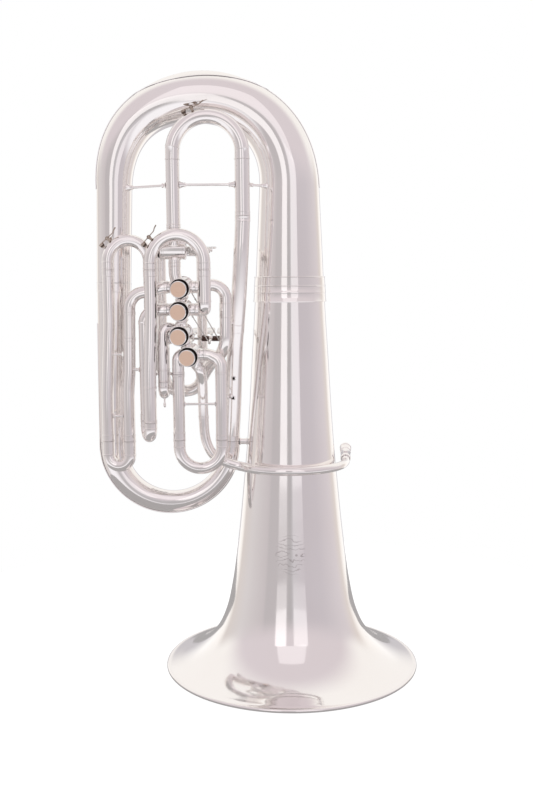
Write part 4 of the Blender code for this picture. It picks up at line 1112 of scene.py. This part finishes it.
def rotors():
    """Rotor bodies with a plain waist, their shafts and stop arms. The casings hide the waist."""
    for number in (1, 2, 3, 4, 5):
        place = placed(number)
        turned = place @ VALVE_AXIS
        work = bmesh.new()
        low = CASING_FRONT + 0.0005
        high = CASING_BACK - 0.0033
        profile = [(0.0124, low), (0.0128, low + 0.0006), (0.0128, low + 0.0040), (0.0120, low + 0.0048)]
        profile += [(0.0120, high - 0.0048), (0.0128, high - 0.0040), (0.0128, high - 0.0006), (0.0122, high)]
        profile += [(0.0024, high + 0.0001), (0.0024, 0.0195), (0.0042, 0.0198), (0.0045, 0.0203)]
        profile += [(0.0045, 0.0234), (0.0042, 0.0238), (0.0022, 0.0240), (0.0020, 0.0250), (0.0010, 0.0254)]
        turn_into(work, profile, turned, 40)
        pin = Vector((STOP_ARM_PIN, 0, -STOP_ARM_PIN))
        reach = 0.0300 if number != 5 else 0.0470
        arm = bmesh.new()
        middle = Vector((0, 0.0219, 0))
        bar_into(arm, middle - pin * 0.3, middle + pin * 1.15, 0.0042, 0.0032, 0.0008, across=X + Z)
        turn_into(arm, pill(0.0024, 0.0203, 0.0235), Matrix.Translation(pin) @ VALVE_AXIS, 20)
        turn_into(arm, pill(0.0011, 0.0230, reach), Matrix.Translation(pin) @ VALVE_AXIS, 16)
        bmesh.ops.transform(arm, matrix=place, verts=arm.verts)
        merge(work, arm)
        name = f"valve_rotor_{number}"
        finish(name, work, STEEL, name)


# ---------------------------------------------------------------- levers, links and axle
def spring_into(work, start, end, radius, wire, turns, material=0):
    """A coil spring between two points."""
    start = Vector(start)
    axis = Vector(end) - start
    side = axis.cross(Z).normalized()
    up = axis.normalized().cross(side)
    points = []
    for i in range(turns * 12 + 1):
        angle = 2 * math.pi * i / 12
        share = i / (turns * 12)
        points.append(start + axis * share + (side * math.cos(angle) + up * math.sin(angle)) * radius)
    path = Path(points)
    sweep_into(work, path, [(f, wire) for f in path.far], 6, material)


def finger_levers():
    for number in (1, 2, 3, 4):
        x = LEVER_X[number]
        plate_x = PADDLE_X[number]
        drop = FIRST_LEVER_DROP if number == 1 else 0.0
        reach = LEVER_FRONT - 0.25 * drop
        tip = Vector((x, AXLE_Y - reach, AXLE_Z - LEVER_FRONT * LEVER_SLOPE - drop))
        pivot = Vector((x, AXLE_Y, AXLE_Z))
        elbow = Vector((x, 0.0520, AXLE_Z + 0.0380 * LEVER_SLOPE))
        turn = Vector((plate_x, 0.0700, AXLE_Z + 0.0560 * LEVER_SLOPE))
        end = Vector((plate_x, 0.1180, AXLE_Z + 0.1040 * LEVER_SLOPE))
        work = bmesh.new()
        turn_into(work, pill(0.0043, -0.0024, 0.0024), axis_place(pivot, X), 28)
        bar_into(work, pivot, tip + Vector((0, 0.0025, 0.0003)), 0.0030, 0.0034)
        turn_into(work, pill(0.0020, 0.0, 0.0050), axis_place(tip, Y), 20)
        bar_into(work, pivot, elbow + Vector((0, 0.001, 0)), 0.0030, 0.0034)
        bar_into(work, elbow, turn, 0.0036, 0.0030)
        paddle_into(work, turn - Vector((0, 0.004, 0.0004)), end)
        name = f"finger_lever_{number}"
        finish(name, work, SATIN, name)


def paddle_into(work, start, end):
    """A finger plate: rounded oblong, slightly dished."""
    long = (end - start).normalized()
    length = (end - start).length
    up = X.cross(long)
    half = 0.0090
    top = []
    bottom = []
    for i in range(40):
        angle = 2 * math.pi * i / 40
        across = math.copysign(abs(math.cos(angle)) ** 0.5, math.cos(angle)) * half
        down = math.copysign(abs(math.sin(angle)) ** 0.35, math.sin(angle)) * length / 2
        spot = start + long * (length / 2 + down) + X * across
        top.append(spot + up * 0.0011)
        bottom.append(spot - up * 0.0010)
    centre = start + long * (length / 2)
    inner = [centre + (spot - centre) * 0.94 + up * 0.0003 for spot in top]
    dish = [centre + (spot - centre) * 0.60 - up * 0.0003 for spot in top]
    lower = [centre + (spot - centre) * 0.95 - up * 0.0002 for spot in bottom]
    add_rings(work, [lower, bottom, top, inner, dish])


def link_end(number):
    pin = VALVE_TURN @ Vector((STOP_ARM_PIN, 0.0312, -STOP_ARM_PIN)) + VALVE_CENTRES[number]
    return Vector((pin.x, LINK_Y, pin.z))


def link_rods():
    """Plain rods with an eye at both ends and two lock nuts."""
    for number in (1, 2, 3, 4):
        drop = FIRST_LEVER_DROP if number == 1 else 0.0
        low = Vector((LEVER_X[number], LINK_Y, AXLE_Z - LEVER_FRONT * LEVER_SLOPE - drop))
        high = link_end(number)
        work = bmesh.new()
        path = Path([low, high])
        far = path.length
        profile = [(0.0, 0.0009), (far * 0.2, 0.0009)]
        profile += [(far * 0.2 + 0.0001, 0.0014), (far * 0.2 + 0.0020, 0.0014), (far * 0.2 + 0.0021, 0.0008)]
        profile += [(far * 0.8 - 0.0021, 0.0008), (far * 0.8 - 0.0020, 0.0014), (far * 0.8 - 0.0001, 0.0014)]
        profile += [(far * 0.8, 0.0009), (far, 0.0009)]
        sweep_into(work, path, profile, 12)
        for spot in (low, high):
            turn_into(work, pill(0.0023, -0.0010, 0.0010, 0.0003), axis_place(spot, Y), 24)
        name = f"link_rod_{number}"
        finish(name, work, STEEL, name)


def lever_axle():
    left_x = -0.1240
    right_x = -0.0530
    work = bmesh.new()
    route = [
        ((left_x, -0.0372, 0.5500), 0),
        ((left_x, AXLE_Y, AXLE_Z), 0.003),
        ((right_x, AXLE_Y, AXLE_Z), 0.003),
        ((-0.0440, -0.0180, AXLE_Z), 0),
    ]
    path = Path(rounded(route))
    sweep_into(work, path, [(f, 0.0018) for f in path.far], 16)
    for x in (left_x + 0.0035, right_x - 0.0030):
        turn_into(work, pill(0.0030, -0.0012, 0.0012), axis_place((x, AXLE_Y, AXLE_Z), X), 24)
    finish("lever_axle", work, STEEL)
    coils = bmesh.new()
    for start_x, end_x in ((-0.0918, -0.0802), (-0.0742, -0.0622)):
        spring_into(coils, (start_x, AXLE_Y, AXLE_Z), (end_x, AXLE_Y, AXLE_Z), 0.0040, 0.00056, 11)
    piece("lever_springs", coils, SPRING)


def thumb_lever():
    x = -0.0775
    pivot = Vector((x, THUMB_AXLE_Y, VALVE_5.z))
    tip = Vector((x, VALVE_5.y - STOP_ARM_PIN, VALVE_5.z - STOP_ARM_PIN))
    knee = Vector((x, 0.0500, VALVE_5.z + 0.0050))
    work = bmesh.new()
    turn_into(work, pill(0.0043, -0.0024, 0.0024), axis_place(pivot, X), 28)
    bar_into(work, pivot, tip, 0.0030, 0.0034)
    turn_into(work, pill(0.0024, -0.0015, 0.0015), axis_place(tip, X), 24)
    bar_into(work, pivot, knee, 0.0030, 0.0034)
    paddle_into(work, knee - Vector((0, 0.002, 0)), knee + Vector((0, 0.026, 0.002)))
    finish("thumb_lever", work, SATIN, "thumb_lever")
    coil = bmesh.new()
    coil_start, coil_end = [(x, THUMB_AXLE_Y, VALVE_5.z) for x in (-0.1050, -0.0815)]
    spring_into(coil, coil_start, coil_end, 0.0034, 0.00055, 12)
    piece("thumb_spring", coil, STEEL)


# ---------------------------------------------------------------- water keys
KEY_HEIGHT = 0.0058


def key_place(centre, reach, degrees, y):
    angle = math.radians(degrees)
    out = Vector((math.cos(angle), 0, math.sin(angle)))
    run = Vector((math.sin(angle), 0, -math.cos(angle)))
    turn = Matrix((run, out.cross(run), out)).transposed().to_4x4()
    return Matrix.Translation(Vector((centre[0], y, centre[1])) + out * reach) @ turn


def water_keys():
    middle_x = 0.5 * (SLIDE_LEFT_X + SLIDE_RIGHT_X)
    places = {
        "water_key_main": ("main_slide", key_place((middle_x, SLIDE_BOW_Z), 0.07075, 109, SLIDE_Y)),
        "water_key_4": (
            "v4_upper_slide",
            key_place((-0.2023, UPPER_4_JOINT + 0.0135), 0.0322 + TUBE_R + KEY_HEIGHT, 132, -0.0425),
        ),
        "water_key_3": (
            "v3_upper_slide",
            key_place((-0.1221, UPPER_3_JOINT + 0.0120), 0.0415 + WIDE_TUBE_R + KEY_HEIGHT, 138, -0.0795),
        ),
    }
    for name, (slide_body, place) in places.items():
        work = bmesh.new()
        turn_into(work, pill(0.0021, -0.0034, 0.0034), axis_place((0, 0, 0), Y), 24)
        bar_into(work, (-0.0150, 0, 0.0006), (0.0120, 0, 0.0006), 0.0036, 0.0014)
        turn_into(work, pill(0.0040, -0.0026, 0.0006), axis_place((-0.0135, 0, 0), Z), 28)
        bar_into(work, (0.0112, 0, 0.0004), (0.0165, 0, 0.0030), 0.0044, 0.0014)
        bar_into(work, (0.0155, 0, 0.0026), (0.0212, 0, 0.0040), 0.0066, 0.0014)
        turn_into(work, pill(0.0034, -0.0046, -0.0024), axis_place((-0.0135, 0, 0), Z), 24, material=1)
        bmesh.ops.transform(work, matrix=place, verts=work.verts)
        finish(name, work, [AGED, CORK], name)
        saddle = bmesh.new()
        for side in (-1, 1):
            low, high = [(0, side * 0.0048, z) for z in (-0.0062, 0.0012)]
            bar_into(saddle, low, high, 0.0040, 0.0013, across=X)
            screw_into(saddle, (0, side * 0.0054, 0), Y * side, 0.0017, 0.0010)
        turn_into(saddle, pill(0.0027, -0.0068, -0.0052), axis_place((-0.0135, 0, 0), Z), 24)
        spring_into(saddle, (0, -0.0038, 0), (0, 0.0038, 0), 0.0028, 0.0004, 5)
        bmesh.ops.transform(saddle, matrix=place, verts=saddle.verts)
        piece(name.replace("water_key", "key_saddle"), saddle, AGED, slide_body)


# ---------------------------------------------------------------- leadpipe, stays and braces
PIPE_R = 0.0910
PIPE_Z = 0.3440


def leadpipe():
    knots = [
        port(1, -60, STUB_END + 0.0080),
        (-0.0880, -0.0480, 0.4780),
        (-0.0876, -0.0400, 0.4300),
        (-0.0845, -0.0400, 0.3880),
        (-0.0715, -0.0410, 0.3620),
        (-0.0490, -0.0440, 0.3500),
    ]
    for degrees in range(212, 353, 20):
        angle = math.radians(degrees)
        knots.append((BELL_X + PIPE_R * math.cos(angle), PIPE_R * math.sin(angle), PIPE_Z))
    end = Vector((BELL_X + PIPE_R, -0.0010, PIPE_Z + 0.0030))
    route = [port(1, -60), *smooth_route([*knots, end], 8)]
    radii = [(0, 0.0083), (0.25, 0.0080), (1, 0.0063)]
    bands = [ferrule(0.0003, 0.0040), ferrule(0.0840, 0.0890)]
    add_tube("leadpipe", route, radii, bands, 28)
    last_angle = math.radians(352)
    last = Vector((BELL_X + PIPE_R * math.cos(last_angle), PIPE_R * math.sin(last_angle), PIPE_Z))
    heading = (end - last).normalized()
    start = end + heading * GAP
    path = Path([start, start + heading * 0.0460])
    profile = [(0.0100, 0.0050), (0.0460, 0.0062), (0.0460, 0.0090), (0.0455, 0.0096), (0.0415, 0.0096)]
    profile += [(0.0405, 0.0088), (0.0300, 0.0083), (0.0295, 0.0088), (0.0280, 0.0088), (0.0275, 0.0082)]
    profile += [(0.0080, 0.0078), (0.0070, 0.0084), (0.0010, 0.0084), (0.0, 0.0078), (0.0, 0.0050)]
    work = bmesh.new()
    sweep_into(work, path, profile, 40)
    finish("mouthpiece_receiver", work, SILVER)


def stay_between(work, start, end, foot=0.0055, thin=0.0019):
    """A turned stay with a flared foot at both ends."""
    path = Path([start, end])
    far = path.length
    profile = []
    for near, size in ((0.0, foot), (0.0010, foot), (0.0024, foot * 0.80), (0.0070, foot * 0.52)):
        profile.append((near, size))
    profile += [(0.0076, foot * 0.62), (0.0090, foot * 0.62), (0.0098, thin * 1.15), (0.0120, thin)]
    mirrored = [(far - near, size) for near, size in reversed(profile)]
    sweep_into(work, path, profile + mirrored, 24)


def stays():
    height = 0.789
    left_leg = Vector((LEFT_LEG_X, 0, height))
    slide_left = Vector((SLIDE_LEFT_X, SLIDE_Y, height))
    slide_right = Vector((SLIDE_RIGHT_X, SLIDE_Y, height))
    right_leg = Vector((BELL_X, 0, height))
    for name, a, a_r, b, b_r in (
        ("stay_left", left_leg, 0.0278, slide_left, SLIDE_LEFT_R - 0.0004),
        ("stay_middle", slide_left, SLIDE_LEFT_R - 0.0004, slide_right, SLIDE_RIGHT_R - 0.0004),
        ("stay_right", slide_right, SLIDE_RIGHT_R - 0.0004, right_leg, 0.0476),
    ):
        run = (b - a).normalized()
        work = bmesh.new()
        stay_between(work, a + run * a_r, b - run * b_r, 0.0058 if name != "stay_right" else 0.0050)
        finish(name, work, SILVER)


def small_brace(work, start, end):
    """A short post between two tubes, with a collar in its middle."""
    path = Path([start, end])
    far = path.length
    half = far / 2
    profile = [(0.0, 0.0042), (0.0009, 0.0040), (0.0018, 0.0020)]
    profile += [(half - 0.0016, 0.0017), (half - 0.0010, 0.0026)]
    profile = [(f, r) for f, r in profile if f < half]
    profile += [(far - f, r) for f, r in reversed(profile)]
    sweep_into(work, path, profile, 20)


def braces():
    left = -0.0448 + BOTTOM_BOW_RADII[2] + GAP + 0.0002
    right = BELL_X - 0.0715 - GAP
    work = bmesh.new()
    path = Path([(left - 0.0010, -0.0005, 0.3780), (right + 0.0004, -0.0005, 0.3780)])
    far = path.length
    profile = [(0.0, 0.0060), (0.0012, 0.0060), (0.0022, 0.0048), (far - 0.0022, 0.0048)]
    sweep_into(work, path, [*profile, (far - 0.0012, 0.0060), (far, 0.0060)], 28)
    finish("bell_brace", work, SILVER)
    posts = bmesh.new()
    r = TUBE_R - 0.0003
    pairs = [
        ((-0.2050, -0.0500, 0.5030), (-0.1765, -0.0600, 0.5030), r, WIDE_TUBE_R),
        ((-0.2395, -0.0445, 0.5270), (-0.2045, -0.0495, 0.5270), r, r),
        ((-0.2400, -0.0440, 0.4280), (-0.2055, -0.0500, 0.4280), r, r),
        ((FIRST_LEFT[0], FIRST_LEFT[1], 0.4485), (FIRST_RIGHT[0], FIRST_RIGHT[1], 0.4485), r, r),
        ((-0.1765, -0.0535, 0.4950), (SECOND_X, SECOND_REAR_Y, 0.4950), WIDE_TUBE_R - 0.0003, 0.0080),
        ((SECOND_X, SECOND_REAR_Y, 0.4990), (FIRST_LEFT[0], FIRST_LEFT[1], 0.4925), 0.0080, r),
        ((-0.0488, -0.0560, 0.5750), (-0.0318, -0.0352, 0.5750), r, 0.0118),
        ((FIRST_RIGHT[0], FIRST_RIGHT[1], 0.4560), (-0.0400, -0.0140, 0.4560), r, 0.0128),
        ((-0.2375, 0.0, 0.5270), (-0.2395, -0.0445, 0.5270), 0.0248, r),
        ((-0.2365, 0.0, 0.4280), (-0.2400, -0.0440, 0.4280), 0.0230, r),
    ]
    for start, end, start_r, end_r in pairs:
        a = Vector(start)
        b = Vector(end)
        run = (b - a).normalized()
        small_brace(posts, a + run * start_r, b - run * end_r)
    piece("tube_braces", posts, SILVER)


# ---------------------------------------------------------------- studio
def studio_world():
    """A pale room round the tuba: greyer in front of it, white at its sides, pink-grey above."""
    world = bpy.data.worlds.new("studio")
    bpy.context.scene.world = world
    world.use_nodes = True
    tree = world.node_tree
    heading = node(tree, "ShaderNodeTexCoord").outputs["Generated"]
    parts = node(tree, "ShaderNodeSeparateXYZ", {0: heading}).outputs
    minus_y = maths(tree, "MULTIPLY", parts["Y"], -1.0)
    turn = maths(tree, "ARCTAN2", parts["X"], minus_y)
    share = maths(tree, "ADD", maths(tree, "MULTIPLY", turn, 0.5 / math.pi), 0.5)
    walls = ramp(tree, share, WALLS)
    ceiling = blended(tree, softened(tree, parts["Y"], -0.15, 0.45), (0.72, 0.66, 0.685), (0.98, 0.96, 0.93))
    roofed = blended(tree, softened(tree, parts["Z"], 0.10, 0.42), walls, ceiling)
    ahead = softened(tree, minus_y, -0.1, 0.3)
    minus_z = maths(tree, "MULTIPLY", parts["Z"], -1.0)
    low = maths(tree, "MULTIPLY", ahead, softened(tree, minus_z, 0.16, 0.45))
    colour = blended(tree, low, roofed, (0.98, 0.97, 1.0))
    seen = node(tree, "ShaderNodeLightPath").outputs["Is Camera Ray"]
    colour = blended(tree, seen, colour, (1.0, 1.0, 1.0))
    shade = tree.nodes["Background"]
    tree.links.new(colour, shade.inputs["Color"])
    shade.inputs["Strength"].default_value = 1.0


# Brightness of the room by heading, in degrees from the camera's side towards +X.
WALLS = [
    (-180, (0.60, 0.58, 0.60)),
    (-163, (0.62, 0.60, 0.62)),
    (-152, (1.08, 1.07, 1.05)),
    (-136, (1.02, 0.99, 0.95)),
    (-126, (0.72, 0.67, 0.64)),
    (-96, (0.70, 0.67, 0.67)),
    (-54, (0.60, 0.56, 0.57)),
    (-49, (0.54, 0.51, 0.52)),
    (-9, (0.54, 0.51, 0.52)),
    (-7, (0.49, 0.47, 0.48)),
    (-1, (0.49, 0.47, 0.48)),
    (1, (0.57, 0.55, 0.57)),
    (22, (0.58, 0.54, 0.57)),
    (60, (0.60, 0.56, 0.59)),
    (104, (0.70, 0.65, 0.67)),
    (124, (0.76, 0.70, 0.66)),
    (136, (1.02, 0.99, 0.95)),
    (152, (1.08, 1.07, 1.05)),
    (163, (0.62, 0.60, 0.62)),
    (180, (0.60, 0.58, 0.60)),
]


def ramp(tree, share, stops):
    """Colours by heading, as a colour ramp over the full turn."""
    made = node(tree, "ShaderNodeValToRGB", {0: share})
    elements = made.color_ramp.elements
    while len(elements) < len(stops):
        elements.new(0.5)
    for element, (degrees, colour) in zip(elements, stops):
        element.position = 0.5 + degrees / 360
    for element, (degrees, colour) in zip(elements, stops):
        element.color = (*colour, 1)
    return made.outputs["Color"]


FLOOR_RADIUS = 0.75
SOFT_BOX_DISTANCE = 2.6


def floor():
    """A plain white table, which glows as a light table does, so that it shows no hard shadow."""
    work = bmesh.new()
    bmesh.ops.create_circle(work, cap_ends=True, segments=96, radius=FLOOR_RADIUS)
    mesh = bpy.data.meshes.new("floor")
    work.to_mesh(mesh)
    work.free()
    made, tree, shader = graph("floor_white")
    place = node(tree, "ShaderNodeTexCoord").outputs["Object"]
    grain = node(tree, "ShaderNodeTexNoise", {"Vector": place, "Scale": 30.0}).outputs["Fac"]
    tree.links.new(spread(tree, grain, 0.60, 0.66), shader.inputs["Roughness"])
    shader.inputs["Base Color"].default_value = (0.30, 0.30, 0.30, 1)
    shader.inputs["Specular IOR Level"].default_value = 0.0
    shader.inputs["Emission Color"].default_value = (1, 1, 1, 1)
    seen = node(tree, "ShaderNodeLightPath").outputs["Is Camera Ray"]
    glow = node(tree, "ShaderNodeMapRange", {"Value": seen, "To Min": 0.18, "To Max": 0.90}).outputs["Result"]
    tree.links.new(glow, shader.inputs["Emission Strength"])
    mesh.materials.append(made)
    made_floor = bpy.data.objects.new("floor", mesh)
    made_floor.location = (0, 0.05, -0.0002)
    bpy.context.scene.collection.objects.link(made_floor)


def soft_box(name, degrees, width, low, high, glow):
    """An upright panel of light in front of the tuba, whose reflection is a bright strip."""
    data = bpy.data.lights.new(name, "AREA")
    data.shape = "RECTANGLE"
    data.size = width
    data.size_y = high - low
    data.energy = math.pi * data.size * data.size_y * glow
    lamp = bpy.data.objects.new(name, data)
    angle = math.radians(degrees)
    foot = Vector((BELL_X, 0, 0.5 * (low + high)))
    lamp.location = foot + Vector((math.sin(angle), -math.cos(angle), 0)) * SOFT_BOX_DISTANCE
    lamp.rotation_euler = (foot - lamp.location).to_track_quat("-Z", "Y").to_euler()
    lamp.visible_camera = False
    bpy.context.scene.collection.objects.link(lamp)


def camera():
    data = bpy.data.cameras.new("camera")
    data.lens = 45
    data.sensor_width = 36
    eye = bpy.data.objects.new("camera", data)
    tilt = Matrix.Rotation(math.radians(90 - 6.918), 4, "X")
    roll = Matrix.Rotation(-0.00764, 4, "Z")
    eye.matrix_world = Matrix.Translation((0.0139, -1.6322, 0.6441)) @ tilt @ roll
    bpy.context.scene.collection.objects.link(eye)
    bpy.context.scene.camera = eye


camera()
studio_world()
floor()
soft_box("strip_left", -19, 0.84, 0.28, 1.6, 0.44)
soft_box("strip_left_fade", -19, 0.84, 0.12, 0.28, 0.20)
soft_box("strip_right", 14, 1.06, 0.28, 1.6, 0.30)
soft_box("strip_right_fade", 14, 1.06, 0.12, 0.28, 0.14)
soft_box("window_high", -1, 2.3, 1.6, 4.6, 0.20)
bell()
bell_garland()
main_bow()
outer_branch()
bottom_bow()
inner_branch()
guards()
slides()
fixed_tubes()
casings()
caps()
rotors()
finger_levers()
link_rods()
lever_axle()
thumb_lever()
water_keys()
leadpipe()
stays()
braces()

scene = bpy.context.scene
scene.view_settings.view_transform = "Standard"
scene.view_settings.look = "None"
